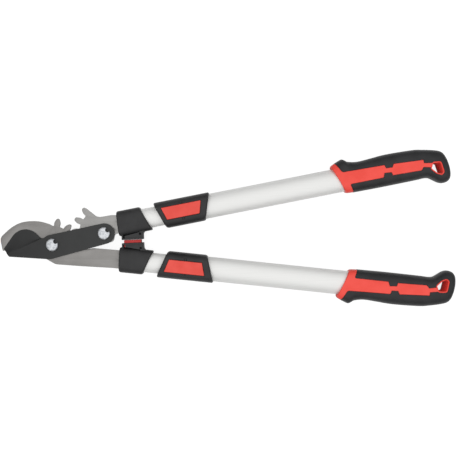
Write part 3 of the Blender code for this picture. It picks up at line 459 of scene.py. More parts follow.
def merged(mesh):
    """The mesh with its loose triangles joined at their corners."""
    shape = bmesh.new()
    shape.from_mesh(mesh)
    bmesh.ops.remove_doubles(shape, verts=shape.verts, dist=JOIN)
    shape.to_mesh(mesh)
    shape.free()
    return mesh


def settled(mesh):
    """The same surface with its corners and faces in an order that only their places decide."""
    order = sorted(range(len(mesh.vertices)), key=lambda index: tuple(mesh.vertices[index].co))
    rank = {index: place for place, index in enumerate(order)}
    faces = []
    for face in mesh.polygons:
        corners = [rank[index] for index in face.vertices]
        start = corners.index(min(corners))
        faces.append(corners[start:] + corners[:start])
    result = bpy.data.meshes.new(mesh.name)
    result.from_pydata([mesh.vertices[index].co for index in order], [], sorted(faces))
    return result


# %% Cut, join and ease
FLAT_BEND = radians(0.4)
EDGE_BEND = radians(50)


def combined(mesh, tool, operation="DIFFERENCE"):
    """One mesh cut by, joined to or met with another."""
    things = [bpy.data.objects.new("work", settled(part)) for part in (mesh, tool)]
    for thing in things:
        bpy.context.scene.collection.objects.link(thing)
    modifier = things[0].modifiers.new("combine", "BOOLEAN")
    modifier.operation = operation
    modifier.object = things[1]
    modifier.solver = "EXACT"
    bpy.context.view_layer.update()
    made = things[0].evaluated_get(bpy.context.evaluated_depsgraph_get())
    result = bpy.data.meshes.new_from_object(made)
    for thing in things:
        bpy.data.objects.remove(thing)
    return result


def softened(mesh, width, segments=2):
    """The mesh with flat parts made one face and a small round on each real edge."""
    shape = bmesh.new()
    shape.from_mesh(settled(merged(mesh)))
    bmesh.ops.dissolve_limit(shape, angle_limit=FLAT_BEND, verts=shape.verts, edges=shape.edges)
    rims = [edge for edge in shape.edges if edge.is_manifold and edge.calc_face_angle() > EDGE_BEND]
    bmesh.ops.bevel(shape, geom=rims, offset=width, offset_type="OFFSET", segments=segments, profile=0.5,
                    affect="EDGES", clamp_overlap=True, material=-1)
    shape.to_mesh(mesh)
    shape.free()
    return mesh


# %% [markdown]
# Place and dress
#
# Pieces of the two handles are mirror images, so each is made once, in the upper handle's
# frame, and `on_handle` places it on either side. `dress` gives the finish of the node
# that the piece stands for, and shades it smooth except where it bends sharply.

# %% Place and dress a piece
SHARP_BEND = radians(35)


def on_handle(mesh, side):
    """A mesh that was made in the upper handle's frame, placed on either handle."""
    placed = mesh.copy()
    placed.transform(HANDLES[side])
    if side == "lower":
        placed.flip_normals()
    return placed


def dress(node, mesh, body, bend=SHARP_BEND):
    """The finished piece that rides on a body and stands for one node of the model."""
    mesh = settled(merged(mesh))
    mesh.materials.append(finish_of(node))
    mesh.shade_smooth()
    mesh.set_sharp_from_angle(angle=bend)
    made = bpy.data.objects.new(f"{node}_fine", mesh)
    bpy.context.scene.collection.objects.link(made)
    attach(made, body)
    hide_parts(node)
    print(f"{made.name}: {len(mesh.polygons)} faces")


# %% [markdown]
# Steel plates
#
# Hook, tangs and link are blanks cut from 3 and 4 mm steel, and washers and nuts are
# stamped or turned. The model already has their outlines. Such a part has no razor edge,
# and the thin line where its small round turns to the grey horizon is what makes it look
# like metal. So each is a copy of its node, with a round of half a millimetre run along
# its rims.

# %% Plates and hardware with eased rims
PLATE_ROUND = 0.0005
PLATES = [("hook_tang", "root", "steel"), ("upper_gear_tang", "upper_shaft", "pale_steel"),
          ("rear_link", "blade", "blade_coating"),
          ("main_pivot_washer", "blade", "zinc"), ("main_pivot_nut", "blade", "zinc"),
          ("gear_pivot_washer", "blade", "zinc"), ("gear_pivot_nut", "blade", "zinc")]

for name, body, slot in PLATES:
    dress(name, softened(nodes[name].data.copy(), PLATE_ROUND), body)

# %% [markdown]
# Skins through rings
#
# Blade, tubes, sleeves and grips all need a surface that runs through rings, so it is
# made by one function. It draws a circle, extrudes its edge once for each further ring,
# and moves the new corners to where that ring wants them. Each corner remembers its angle
# on the first circle. Where there are too few rings, a smooth curve gives those in between.

# %% Rings that grow into a skin


def skin(places, sides, closed=True):
    """A skin through rings; each entry of places turns an angle into a point."""
    shape = bmesh.new()
    turns = shape.verts.layers.float.new("turn")
    ring = bmesh.ops.create_circle(shape, cap_ends=False, segments=sides, radius=1.0)["verts"]
    for vert in ring:
        vert[turns] = atan2(vert.co.y, vert.co.x)
        vert.co = places[0](vert[turns])
    first = shape.edges[:]
    edges = first
    for place in places[1:]:
        grown = bmesh.ops.extrude_edge_only(shape, edges=edges)["geom"]
        edges = [part for part in grown if isinstance(part, bmesh.types.BMEdge)]
        for vert in (part for part in grown if isinstance(part, bmesh.types.BMVert)):
            vert.co = place(vert[turns])
    if closed:
        bmesh.ops.edgeloop_fill(shape, edges=first)
        bmesh.ops.edgeloop_fill(shape, edges=edges)
    return shape


def smoothed(rows, between):
    """The rows with more in between, on a curve that passes through each of them."""
    result = []
    for index in range(len(rows) - 1):
        before, here, there, after = (rows[max(index - 1, 0)], rows[index], rows[index + 1],
                                      rows[min(index + 2, len(rows) - 1)])
        for step in range(between):
            share = step / between
            result.append([
                0.5 * (2 * b + (c - a) * share + (2 * a - 5 * b + 4 * c - d) * share ** 2
                       + (3 * b - a - 3 * c + d) * share ** 3)
                for a, b, c, d in zip(before, here, there, after)])
    return result + [list(rows[-1])]


# %% [markdown]
# The blade's bevel
#
# The bevel runs from a straight crease out to the cutting edge. A grinding wheel leaves it
# hollow: steep where it starts at the crease and flat towards the edge. Near the pivot it
# bites in deepest and leaves a small lip, which mirrors the grey horizon, and that is why
# a real blade shows a dark line there. The model has a flat bevel, so here a skin of
# sections, one for each step along the crease, cuts the hollow out of it. The crease and
# the edge are given in millimetres from the main pivot.

# %% The wheel's section
BLADE_TOP = 0.0063
BLADE_DROP = 0.00342
EDGE_PASS = 0.003
HOLLOW_STEPS = 8
SECTION_SIDES = HOLLOW_STEPS + 5
HOLLOW_POWER = 2.4
LIP_DEPTH = 0.0013
LIP_WIDTH = 0.0013
LIP_MOST = 0.5


def hollow_section(inner, outer, lip):
    """One section of what the wheel takes away, from the crease out past the edge."""
    up = Vector((0.0, 0.0, 1.0))
    width = (outer - inner).length
    start = min(LIP_WIDTH / width, LIP_MOST)
    lip = min(lip, start * width)
    past = (outer - inner).normalized() * EDGE_PASS
    points = [inner]
    for step in range(HOLLOW_STEPS + 1):
        share = step / HOLLOW_STEPS
        bite = lip + (BLADE_DROP - lip) * (1 - (1 - share) ** HOLLOW_POWER)
        points.append(inner.lerp(outer, start + (1 - start) * share) - up * bite)
    points += [points[-1] + past, outer + past + up * EDGE_PASS, inner + up * EDGE_PASS]
    return lambda turn: points[round(turn / (2 * pi) * SECTION_SIDES) % SECTION_SIDES]


# %% Blade, ground hollow
TIP_PASS = 0.004
CREASE = (Vector((-64.5, -10.5, 0.0)), Vector((-14.5, 10.0, 0.0)))
CUTTING_EDGE = [(-72.5, -5), (-62.5, 8.6), (-56.3, 16.7), (-49, 22.3), (-40.3, 24.0), (-31.5, 22.6),
                (-24.5, 18.1), (-19.5, 12.8), (-16.6, 10.4), (-13.6, 10.1)]
EDGE_BETWEEN = 4
CREASE_BEND = radians(18)

top = PIVOT + Vector((0.0, 0.0, BLADE_TOP))
edge_points = smoothed(CUTTING_EDGE, EDGE_BETWEEN)
crease_run = CREASE[1] - CREASE[0]
before_tip = -TIP_PASS * crease_run.normalized()
sections = [hollow_section(top + CREASE[0] / 1000 + before_tip,
                           top + Vector((*CUTTING_EDGE[0], 0.0)) / 1000 + before_tip, 0.0)]
for index, (x, y) in enumerate(edge_points):
    share = index / (len(edge_points) - 1)
    sections.append(hollow_section(top + (CREASE[0] + crease_run * share) / 1000,
                                   top + Vector((x, y, 0.0)) / 1000, LIP_DEPTH * share))
wheel = to_mesh("wheel", skin(sections, SECTION_SIDES))
blade = softened(combined(merged(nodes["cutting_blade"].data.copy()), wheel), PLATE_ROUND / 2)
dress("cutting_blade", blade, "blade", CREASE_BEND)

# %% [markdown]
# Tubes
#
# The tubes are extruded flat ovals. The skin starts inside, turns over one eased end, runs
# along the outside and turns in again over the other end, and one bridge closes the inner
# wall. Sixty-four sides keep the long highlights smooth. The inner tubes are riveted to the
# tangs, and the outer tubes slide over them. Each inner tube has five holes in its top for
# the lock's pin, and its two rivets go right through its front end.

# %% Oval rings and round rods


def oval(along, half_width, half_depth):
    """A flat oval ring across the handle at one place."""
    return lambda turn: (along, half_width * cos(turn), half_depth * sin(turn))


def post(radius, low, high, place, sides=32):
    """A round rod along Z at a place of the handle, with no corner on the handle's middle line."""
    shape = bmesh.new()
    standing = Matrix.Translation((place, 0.0, (low + high) / 2)) @ Matrix.Rotation(pi / sides, 4, "Z")
    bmesh.ops.create_cone(shape, cap_ends=True, segments=sides, radius1=radius, radius2=radius,
                          depth=high - low, matrix=standing)
    return to_mesh("post", shape)


# %% Inner and outer tubes
TUBE_SIDES = 64
INNER_HALF = (0.0145, 0.0087)
INNER_WALL = 0.0012
INNER_SPAN = (0.106, 0.522)
OUTER_HALF = (0.0174, 0.0110)
OUTER_WALL = 0.0013
OUTER_SPAN = (0.200, 0.545)
STOP_HOLE_RADIUS = 0.003
STOP_PLACES = [0.176 + 0.0625 * step for step in range(5)]
RIVET_PLACES = (0.114, 0.130)
RIVET_HOLE_RADIUS = 0.0023
TUBE_INSIDE = 0.004
TUBE_OUTSIDE = 0.012
FIXED = {"upper": "upper_shaft", "lower": "root"}
SLIDING = {"upper": "upper_slider", "lower": "lower_slider"}


def tube(half, wall, span):
    """An oval tube with eased ends, as one wall with its faces turned outward."""
    width, depth = half
    start, end = span
    ease = wall / 4
    inner = width - wall, depth - wall
    rings = [oval(start + ease, *inner), oval(start, width - wall + ease, depth - wall + ease),
             oval(start, width - ease, depth - ease), oval(start + ease, width, depth),
             oval(end - ease, width, depth), oval(end, width - ease, depth - ease),
             oval(end, width - wall + ease, depth - wall + ease), oval(end - ease, *inner)]
    shape = skin(rings, TUBE_SIDES, closed=False)
    bmesh.ops.bridge_loops(shape, edges=[edge for edge in shape.edges if edge.is_boundary])
    return to_mesh("tube", shape)


inner_tube = tube(INNER_HALF, INNER_WALL, INNER_SPAN)
for place in STOP_PLACES:
    inner_tube = combined(inner_tube, post(STOP_HOLE_RADIUS, TUBE_INSIDE, TUBE_OUTSIDE, place))
for place in RIVET_PLACES:
    inner_tube = combined(inner_tube, post(RIVET_HOLE_RADIUS, -TUBE_OUTSIDE, TUBE_OUTSIDE, place))
outer_tube = tube(OUTER_HALF, OUTER_WALL, OUTER_SPAN)
for side in HANDLES:
    dress(f"{side}_inner_tube", on_handle(inner_tube, side), FIXED[side])
    dress(f"{side}_outer_tube", on_handle(outer_tube, side), SLIDING[side])

# %% [markdown]
# Sleeves
#
# Ferrule and collar are moulded sleeves of the same kind: a softened box section whose
# two ends are cut on a slant. Each is a skin of rings. A ring near an end is drawn in along
# a quarter circle, which rounds the end without any Boolean, and a slanted end only
# means that a ring's x depends on how far out the point lies. A bore is an oval skin, one
# gap larger than the tube that goes in.

# %% A sleeve with slanted, rounded ends
SLEEVE_SIDES = 96
SLEEVE_ROUNDNESS = 3.2
END_STEPS = 5
GAP = 0.0003


def swell(share, roundness):
    """A sine or cosine pushed outward, so that an oval turns into a softened box."""
    return copysign(abs(share) ** (2.0 / roundness), share)


def slanted(ends, half, drawn_in, inward, lowest, highest):
    """A ring between an outer and an inner place along the handle, flattened below and above."""
    outer, inner = ends
    half_width, half_depth = half

    def place(turn):
        out = (half_width - drawn_in) * swell(cos(turn), SLEEVE_ROUNDNESS)
        depth = (half_depth - drawn_in) * swell(sin(turn), SLEEVE_ROUNDNESS)
        share = 0.5 + out / (2 * half_width)
        return inner + (outer - inner) * share + inward, out, min(max(depth, lowest), highest)

    return place


def sleeve(front, back, half, edge, lowest=-1.0, highest=1.0):
    """A solid sleeve; front and back each give the places of their outer and inner ends."""
    turns = [radians(90) * step / END_STEPS for step in range(END_STEPS + 1)]
    rings = []
    for ends, way, order in ((front, 1, reversed(turns)), (back, -1, turns)):
        for turn in order:
            drawn_in = edge * (1 - cos(turn))
            rings.append(slanted(ends, half, drawn_in, way * edge * (1 - sin(turn)),
                                 lowest + drawn_in, highest - drawn_in))
    return to_mesh("sleeve", skin(rings, SLEEVE_SIDES))


def bore(half, start, end):
    """What cuts room for an oval tube of a given half width and depth."""
    rings = [oval(place, half[0] + GAP, half[1] + GAP) for place in (start, end)]
    return to_mesh("bore", skin(rings, TUBE_SIDES))


# %% [markdown]
# Flat outlines
#
# Bosses, windows, buttons and the grips' stripe are flat outlines given depth. The
# outline is a list of corners, each with the radius of its arc. A vertex bevel draws the
# arc, and the face is extruded. `shrunk` draws an outline in, which is how a button gets
# its gap and a seam its groove.

# %% Flat outlines with rounded corners
CORNER_STEPS = 6


def slab(corners, low, high):
    """A plate from corners of x, y and radius; each corner is rounded by a vertex bevel."""
    shape = bmesh.new()
    verts = [shape.verts.new((x, y, low)) for x, y, radius in corners]
    shape.faces.new(verts)
    for vert, (x, y, radius) in zip(verts, corners):
        if radius:
            sides = [edge.other_vert(vert).co - vert.co for edge in vert.link_edges]
            reach = radius / tan(sides[0].angle(sides[1]) / 2)
            bmesh.ops.bevel(shape, geom=[vert], offset=reach, offset_type="OFFSET", segments=CORNER_STEPS,
                            profile=0.5, affect="VERTICES", clamp_overlap=True, material=-1)
    grown = bmesh.ops.extrude_face_region(shape, geom=shape.faces[:])["geom"]
    bmesh.ops.translate(shape, verts=[part for part in grown if isinstance(part, bmesh.types.BMVert)],
                        vec=(0.0, 0.0, high - low))
    return to_mesh("slab", shape)


def shrunk(corners, gap):
    """The corners of an outline drawn in by a gap, with each side and arc kept parallel."""
    points = [Vector((x, y)) for x, y, radius in corners]
    area = sum(a.cross(b) for a, b in zip(points, points[1:] + points[:1]))
    inward = gap if area > 0 else -gap
    moved = []
    for index, point in enumerate(points):
        before = (point - points[index - 1]).normalized()
        after = (points[(index + 1) % len(points)] - point).normalized()
        normals = Vector((-before.y, before.x)), Vector((-after.y, after.x))
        place = point + (normals[0] + normals[1]) * inward / (1 + normals[0].dot(normals[1]))
        tighter = gap if before.cross(after) * area > 0 else -gap
        radius = corners[index][2]
        moved.append((*place, max(0.0, radius - tighter) if radius else 0.0))
    return moved


# %% [markdown]
# Ferrules
#
# Each ferrule is a moulded socket that holds the inner tube, with the tang's tail in a slot
# at its front. Its boss reaches towards the other handle's, and the two meet over the buffer
# when the jaws close. Thick plastic sinks as it cools, so a moulder cores it out: the boss
# has a wedge-shaped hollow, two small pockets and a shallow line, from above and from
# below. A fine seam stands up on the ferrule where the boss's back meets it. All of these
# are placed from the tool's middle line, and `beside` takes them into the handle's frame.

# %% Places beside the middle line


def beside(points):
    """Points given from the tool's middle line, taken into the upper handle's frame."""
    back = HANDLES["upper"].inverted() @ Matrix.Translation(PIVOT)
    return [(*(back @ Vector((x, y, 0.0)))[:2], radius) for x, y, radius in points]


def patch(low_x, high_x, low_y, high_y, radius=0.0):
    """A rectangle along the tool's middle line, as an outline for a slab."""
    return beside([(low_x, low_y, radius), (low_x, high_y, radius),
                   (high_x, high_y, radius), (high_x, low_y, radius)])


# %% The boss
PASS = 0.02
BOSS_FRONT = 0.0998
BOSS_BACK = 0.1303
BOSS_FACE = 0.0023
BOSS_ROOT = 0.014
BOSS_HALF_DEPTH = 0.0085
BOSS_EDGE = 0.0008
BOSS_FILLET = 0.006
BOSS_SKIRT = 0.011
BOSS_WEDGE = [(0.1018, 0.0072, 0.0005), (0.1018, 0.0125, 0.0),
              (0.1262, 0.0150, 0.0), (0.1262, 0.0126, 0.0005)]
WEDGE_FLOOR = 0.001
BOSS_POCKETS = [(0.1018, 0.1046, 0.0042, 0.0098), (0.1250, 0.1282, 0.0087, 0.0118)]
POCKET_CORNER = 0.0008
POCKET_FLOOR = 0.0015
BOSS_LINE = (0.1056, 0.1282, 0.0052, 0.0056)
LINE_FLOOR = 0.0079

skirt_root = BOSS_ROOT + BOSS_SKIRT * tan(HANDLE_ANGLE)
boss_outline = beside([(BOSS_FRONT, BOSS_FACE, BOSS_EDGE), (BOSS_BACK, BOSS_FACE, BOSS_EDGE),
                       (BOSS_BACK, BOSS_ROOT, BOSS_FILLET), (BOSS_BACK + BOSS_SKIRT, skirt_root, 0.0),
                       (BOSS_BACK, skirt_root + BOSS_EDGE, 0.0), (BOSS_FRONT, BOSS_ROOT, 0.0)])
boss = softened(slab(boss_outline, -BOSS_HALF_DEPTH, BOSS_HALF_DEPTH), BOSS_EDGE, segments=3)
boss_cuts = [(beside(BOSS_WEDGE), WEDGE_FLOOR), (patch(*BOSS_LINE), LINE_FLOOR)]
boss_cuts += [(patch(*pocket, POCKET_CORNER), POCKET_FLOOR) for pocket in BOSS_POCKETS]
for outline, floor_height in boss_cuts:
    for low, high in ((floor_height, PASS), (-PASS, -floor_height)):
        boss = combined(boss, slab(outline, low, high))
print("boss:", len(boss.polygons), "faces after", 2 * len(boss_cuts), "cuts")

# %% The ferrule
FERRULE_FRONT = (0.0987, 0.0964)
FERRULE_BACK = (0.1325, 0.1452)
FERRULE_HALF = (0.0181, 0.0130)
FERRULE_EDGE = 0.0022
FERRULE_BORE_END = 0.16
SEAM_LINE = (0.1289, 0.1296, 0.0040, 0.0205)
SEAM_RISE = 0.0002
TANG_HALF_WIDTH = 0.0131
TANG_HALF_THICKNESS = 0.002
SLOT_START = 0.08
LAP = 0.001

grown_half = [half + SEAM_RISE for half in FERRULE_HALF]
seam = combined(sleeve(FERRULE_FRONT, FERRULE_BACK, grown_half, FERRULE_EDGE),
                slab(patch(*SEAM_LINE), -PASS, PASS), "INTERSECT")
ferrule = sleeve(FERRULE_FRONT, FERRULE_BACK, FERRULE_HALF, FERRULE_EDGE)
ferrule = combined(combined(ferrule, boss, "UNION"), seam, "UNION")
ferrule = combined(ferrule, bore(INNER_HALF, INNER_SPAN[0] - GAP, FERRULE_BORE_END))
slot_end, slot_side, slot_top = INNER_SPAN[0] + LAP, TANG_HALF_WIDTH + GAP, TANG_HALF_THICKNESS + GAP
slot = [(SLOT_START, slot_side, 0.0), (slot_end, slot_side, 0.0),
        (slot_end, -slot_side, 0.0), (SLOT_START, -slot_side, 0.0)]
ferrule = combined(ferrule, slab(slot, -slot_top, slot_top))
print("ferrule:", len(ferrule.polygons), "faces")

# %% [markdown]
# Buffer
#
# The red buffer is pressed into a seat in the lower boss and stands proud of it, so that
# the upper boss lands on rubber. The seat is the buffer's own outline, one gap larger.

# %% The buffer and its seat
PAD_LENGTH = 0.0245
PAD_HALF_DEPTH = 0.0062
PAD_SEAT = 0.0055
PAD_EDGE = 0.0005
PAD_FRONT = (BOSS_FRONT + BOSS_BACK - PAD_LENGTH) / 2
PAD_TOP = GAP - BOSS_FACE


def pad_corners(growth):
    """Outline of the buffer between the two bosses, sunk into the lower one."""
    front, back = PAD_FRONT - growth, PAD_FRONT + PAD_LENGTH + growth
    return beside([(front, PAD_TOP - growth, 0.0), (back, PAD_TOP - growth, 0.0),
                   (back, BOSS_FACE + PAD_SEAT + growth, 0.0), (front, BOSS_FACE + PAD_SEAT + growth, 0.0)])


seated = combined(ferrule, slab(pad_corners(GAP), -PAD_HALF_DEPTH - GAP, PAD_HALF_DEPTH + GAP))
pad = softened(slab(pad_corners(0.0), -PAD_HALF_DEPTH, PAD_HALF_DEPTH), PAD_EDGE, segments=3)
dress("upper_ferrule", on_handle(ferrule, "upper"), FIXED["upper"])
dress("lower_ferrule", on_handle(seated, "lower"), FIXED["lower"])
dress("bumper_pad", on_handle(pad, "lower"), FIXED["lower"])

# %% [markdown]
# Lock collars
#
# The collar sits on the outer tube's front end, and the inner tube runs through it. It is a
# sleeve with a flat top and underside. A window in the top takes the rocker button, whose
# pin ends in two lugs beside the window, and a round hole under the button lets the lock's
# pin through to the inner tube.

# %% Collars with their window and lugs
COLLAR_FRONT = (0.1528, 0.1660)
COLLAR_BACK = (0.2350, 0.2226)
COLLAR_HALF = (0.0196, 0.0178)
COLLAR_EDGE = 0.0026
COLLAR_LOW = -0.016
COLLAR_TOP = 0.0170
COLLAR_BORE = (0.14, 0.25)
WINDOW = [(0.1630, 0.0104, 0.0014), (0.2221, 0.0104, 0.0014), (0.2166, -0.0087, 0.0014),
          (0.1690, -0.0087, 0.0014)]
WINDOW_FLOOR = 0.0126
WINDOW_PASS = 0.004
BUTTON_PLACE = 0.1925
PIN_HEIGHT = 0.0166
PIN_RADIUS = 0.0012
PIN_GRIP = 0.0025
PIN_SIDES = 24
LUG_RADIUS = 0.0020
LUG_GRIP = 0.0031
LUG_EDGE = 0.0006
LOCK_HOLE_RADIUS = 0.0027


def pin_rod(radius, grip):
    """A rod on the button's axle, which reaches past the window by a grip on both sides."""
    low, high = WINDOW[2][1] - grip, WINDOW[0][1] + grip
    shape = bmesh.new()
    place = Matrix.Translation((BUTTON_PLACE, (low + high) / 2, PIN_HEIGHT))
    bmesh.ops.create_cone(shape, cap_ends=True, segments=PIN_SIDES, radius1=radius, radius2=radius,
                          depth=high - low, matrix=place @ Matrix.Rotation(pi / 2, 4, "X"))
    return to_mesh("pin_rod", shape)


pin_hole = pin_rod(PIN_RADIUS + GAP, PIN_GRIP)
collar = sleeve(COLLAR_FRONT, COLLAR_BACK, COLLAR_HALF, COLLAR_EDGE, COLLAR_LOW, COLLAR_TOP)
collar = combined(collar, softened(pin_rod(LUG_RADIUS, LUG_GRIP), LUG_EDGE, segments=3), "UNION")
collar = combined(collar, slab(WINDOW, WINDOW_FLOOR, COLLAR_TOP + WINDOW_PASS))
collar = combined(collar, bore(INNER_HALF, COLLAR_BORE[0], OUTER_SPAN[0] + LAP))
collar = combined(collar, bore(OUTER_HALF, OUTER_SPAN[0] - GAP, COLLAR_BORE[1]))
collar = combined(collar, post(LOCK_HOLE_RADIUS, 0.0, WINDOW_FLOOR + LAP, STOP_PLACES[0]))
collar = combined(collar, pin_hole)
for side in HANDLES:
    dress(f"{side}_lock_collar", on_handle(collar, side), SLIDING[side])

# %% [markdown]
# Rocker buttons
#
# The button is the window's outline drawn in by a gap and given depth, because a moulded
# button follows its window all round. Its rims get a wide round, which a thumb feels, and
# the rod that drilled the collar for the pin drills it too.

# %% Buttons on their pins
WINDOW_GAP = 0.0006
BUTTON_SPAN = (0.0147, 0.0186)
BUTTON_EDGE = 0.0011

button = softened(slab(shrunk(WINDOW, WINDOW_GAP), *BUTTON_SPAN), BUTTON_EDGE, segments=4)
button = combined(button, pin_hole)
for side in HANDLES:
    dress(f"{side}_lock_button", on_handle(button, side), f"{side}_button")

# %% [markdown]
# Pivot bolts
#
# A shouldered bolt is a turned part, so a profile of half its section is spun round the
# axis: a low dome, the head's side, and the shank. The head carries a round key notch,
# milled from the side, through which the dark blade shows.

# %% Turned bolts
GEAR_PIVOT_ANGLE = radians(9.85)
GEAR_PIVOT_DISTANCE = 0.076
HEAD_LOW = 0.0066
HEAD_HEIGHT = 0.0034
HEAD_RADIUS = 0.0089
HEAD_DOME = [(0.0, 0.0001), (0.005, 0.00005), (0.0074, -0.00005), (0.0079, -0.0003),
             (HEAD_RADIUS - 0.0002, -0.0011), (HEAD_RADIUS, -0.0014)]
HEAD_EASE = 0.0005
SHANK_RADIUS = 0.004
BOLT_LOW = -0.0139
KEY_RADIUS = 0.0032
KEY_ANGLE = radians(40)
KEY_DISTANCE = 0.0071
KEY_SIDES = 40
KEY_BELOW = 0.0001
KEY_ABOVE = 0.003
TURNED_STEPS = 64
AXIS_JOIN = 0.000001


def outward(angle, distance):
    """A step of some distance in the tool's plane, at an angle to its x."""
    return Vector((cos(angle), sin(angle), 0.0)) * distance


def turned(profile):
    """A solid spun from half of its section, given as radius and height."""
    shape = bmesh.new()
    row = [shape.verts.new((radius, 0.0, height)) for radius, height in profile]
    edges = [shape.edges.new(pair) for pair in zip(row, row[1:])]
    bmesh.ops.spin(shape, geom=row + edges, axis=(0.0, 0.0, 1.0), cent=(0.0, 0.0, 0.0), steps=TURNED_STEPS,
                   angle=2 * pi, use_merge=True)
    bmesh.ops.remove_doubles(shape, verts=shape.verts, dist=AXIS_JOIN)
    return to_mesh("turned", shape)


head_top = HEAD_LOW + HEAD_HEIGHT
dome = [(radius, head_top + rise) for radius, rise in HEAD_DOME]
bolt = turned(dome + [
    (HEAD_RADIUS, HEAD_LOW + HEAD_EASE / 2), (HEAD_RADIUS - HEAD_EASE / 2, HEAD_LOW),
    (SHANK_RADIUS, HEAD_LOW), (SHANK_RADIUS, BOLT_LOW + HEAD_EASE),
    (SHANK_RADIUS - HEAD_EASE, BOLT_LOW), (0.0, BOLT_LOW)])
key = post(KEY_RADIUS, HEAD_LOW - KEY_BELOW, head_top + KEY_ABOVE, 0.0, KEY_SIDES)
key.transform(Matrix.Translation(outward(KEY_ANGLE, KEY_DISTANCE)))
bolt = combined(bolt, key)
gear_pivot = PIVOT + outward(GEAR_PIVOT_ANGLE, GEAR_PIVOT_DISTANCE)
for pivot, place in (("main", PIVOT), ("gear", gear_pivot)):
    standing = bolt.copy()
    standing.transform(Matrix.Translation(place))
    dress(f"{pivot}_pivot_bolt", standing, "blade")

# %% [markdown]
# Grips
#
# The grip is the piece that a hand knows best. Its form is a loft: at each station along
# the handle a ring runs from an outer point to an inner one. The stations are those of
# the model, with up to a millimetre more for the soft skin, and a smooth curve through
# them gives the rings in between. A station gives, in millimetres, its outer point's place
# after the tube's end and beyond the tube's side, then the same for its inner point, and
# last what share of the full depth it has. Three shrinking rings round off the end.

# %% The grip's form
GRIP_SIDES = 64
GRIP_BETWEEN = 4
GRIP_ROUNDNESS = 2.7
GRIP_HALF_DEPTH = 0.016
GRIP_STATIONS = [
    (-132.4, 3.1, -118.0, 1.6, 0.88), (-129.5, 5.9, -115.5, 3.0, 0.93), (-118.0, 10.5, -109.5, 3.6, 0.97),
    (-114.2, 11.3, -107.0, 3.7, 0.98), (-110.5, 9.2, -104.0, 3.8, 0.99), (-106.2, 6.3, -101.0, 3.9, 1.0),
    (-93.0, 3.8, -90.0, 4.0, 1.0), (-74.0, 4.7, -72.0, 4.2, 1.0), (-51.0, 6.1, -51.0, 4.2, 1.0),
    (-13.0, 4.9, -15.0, 3.9, 1.0), (1.0, 2.7, -3.0, 3.5, 1.0), (11.0, 0.6, 4.0, 4.7, 0.99),
    (20.0, -1.8, 10.6, 9.3, 0.98), (26.5, -4.4, 16.5, 13.6, 0.96), (30.6, -8.9, 22.5, 15.5, 0.92),
    (33.2, -16.4, 28.5, 14.6, 0.84), (34.6, -25.4, 32.3, 11.6, 0.68), (35.2, -31.4, 34.4, 6.6, 0.45)]
GRIP_END = [(0.0005, 0.8), (0.0009, 0.5), (0.0011, 0.2)]


def grip_ring(row, inset, shift=0.0, size=1.0):
    """One ring of the grip's form, drawn in by an inset."""
    tube_end, tube_side = OUTER_SPAN[1], OUTER_HALF[0]
    outer = Vector((tube_end + row[0] / 1000 + shift, tube_side + row[1] / 1000, 0.0))
    inner = Vector((tube_end + row[2] / 1000 + shift, -tube_side - row[3] / 1000, 0.0))
    half = (outer - inner) / 2
    half = (half - half.normalized() * inset) * size
    depth = (GRIP_HALF_DEPTH * row[4] - inset) * size
    return lambda turn: ((outer + inner) / 2 + half * swell(cos(turn), GRIP_ROUNDNESS)
                         + Vector((0.0, 0.0, depth * swell(sin(turn), GRIP_ROUNDNESS))))


def grip_form(inset):
    """The grip's outer form, or the one that lies inset under it."""
    rows = smoothed(GRIP_STATIONS, GRIP_BETWEEN)
    rings = [grip_ring(row, inset, inset * (index == 0)) for index, row in enumerate(rows)]
    rings += [grip_ring(rows[-1], inset, shift - inset, size) for shift, size in GRIP_END]
    return to_mesh("grip_form", skin(rings, GRIP_SIDES))


# %% [markdown]
# Two colours in one grip
#
# The red hard core shows at the front flange, in a stripe with two necks, and round the
# hanging eye. The soft black cover is what is left of the form, so one outline cuts both.
# It cuts the red parts a little narrower and the cover's opening a little wider, which
# leaves a fine groove where the two mouldings meet. The eye's rim is chamfered by a tool
# that leans with the grip's crown. It comes from two slabs of the same corners, so their
# vertices pair up, and its upper ones take the wider slab's places.

# %% Outlines of the stripe and the eye
STRIPE = [(-147, 36, 0), (-131, 36, 0), (-118.5, 9.8, 4), (-58, 8.3, 0), (-56.4, 3.4, 0), (-47.6, 2.9, 0),
          (-45.1, 7.5, 0), (-2.2, 4.8, 0), (-2.2, 0.2, 0), (9.5, -1.9, 0), (9.5, -8.9, 0), (2.5, -7, 0),
          (-4, -5.6, 0), (-7.4, -9.6, 1.5), (-49, -8.5, 0), (-50.2, -3.9, 0), (-60, -3.1, 0),
          (-62.4, -9.1, 1.5), (-110.4, -9.2, 1.5), (-106.4, -21, 0), (-103, -36, 0), (-147, -36, 0)]
EYE = [(7.2, -9.6, 1.2), (10.6, -2.4, 2.2), (21, -3.3, 2.5), (22.7, -17.6, 2), (19.6, -19.7, 1.5),
       (13.6, -16.6, 3)]
EYE_LINING = 0.0019
RED_PASS = 0.003
RIM_CHAMFER = 0.0009
CROWN_HEIGHT = 0.01628
CROWN_ALONG = -0.034
CROWN_OUT = 0.055


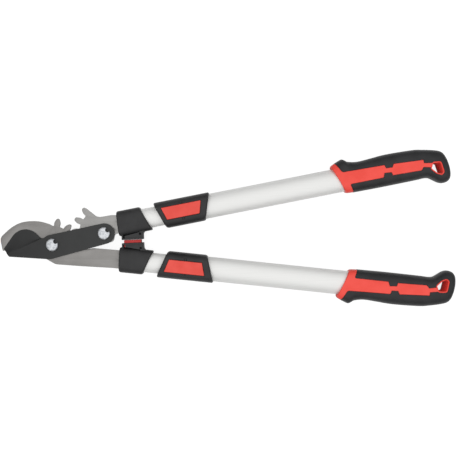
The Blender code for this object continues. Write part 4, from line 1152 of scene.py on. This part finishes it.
def grip_corners(corners):
    """Corners in millimetres after the tube's end as places on the handle."""
    return [(OUTER_SPAN[1] + along / 1000, out / 1000, radius / 1000) for along, out, radius in corners]


def red_region(growth):
    """The stripe with its flange, and the lining round the eye, through the full depth."""
    reach = GRIP_HALF_DEPTH + RED_PASS
    stripe = slab(shrunk(grip_corners(STRIPE), -growth), -reach, reach)
    lining = slab(shrunk(grip_corners(EYE), -EYE_LINING - growth), -reach, reach)
    return combined(stripe, lining, "UNION")


def rim_tool(side):
    """What chamfers the eye's rim, on the crowned top with side 1 and below with side -1."""
    tool = slab(grip_corners(EYE), -RIM_CHAMFER, RIM_CHAMFER)
    wide = slab(shrunk(grip_corners(EYE), -2 * RIM_CHAMFER), -RIM_CHAMFER, RIM_CHAMFER)
    for vert, wide_vert in zip(tool.vertices, wide.vertices):
        if vert.co.z > 0.0:
            vert.co = wide_vert.co
        vert.co.z += CROWN_HEIGHT + CROWN_ALONG * (vert.co.x - OUTER_SPAN[1]) + CROWN_OUT * vert.co.y
    tool.transform(Matrix.Diagonal((1.0, 1.0, side, 1.0)))
    if side < 0:
        tool.flip_normals()
    return tool


# %% Core and cover
COVER_WALL = 0.0015
CORE_SUNK = 0.0002
SEAM_GROOVE = 0.0004
SEAM_HAIR = 0.00012
GRIP_BORE = 0.14
EYE_REACH = 0.03

core = combined(grip_form(CORE_SUNK), red_region(-SEAM_GROOVE), "INTERSECT")
core = combined(core, grip_form(COVER_WALL + 2 * GAP), "UNION")
core = combined(core, bore(OUTER_HALF, OUTER_SPAN[1] - GRIP_BORE, OUTER_SPAN[1] + GAP))
core = combined(core, slab(grip_corners(EYE), -EYE_REACH, EYE_REACH))
for side in (1, -1):
    core = combined(core, rim_tool(side))
cover = combined(grip_form(0.0), grip_form(COVER_WALL))
cover = combined(cover, red_region(SEAM_HAIR))
for side in HANDLES:
    dress(f"{side}_grip_core", on_handle(core, side), SLIDING[side])
    dress(f"{side}_grip_cover", on_handle(cover, side), SLIDING[side])

# %% Last lines
bpy.context.scene.view_settings.view_transform = "Standard"
bpy.context.view_layer.update()
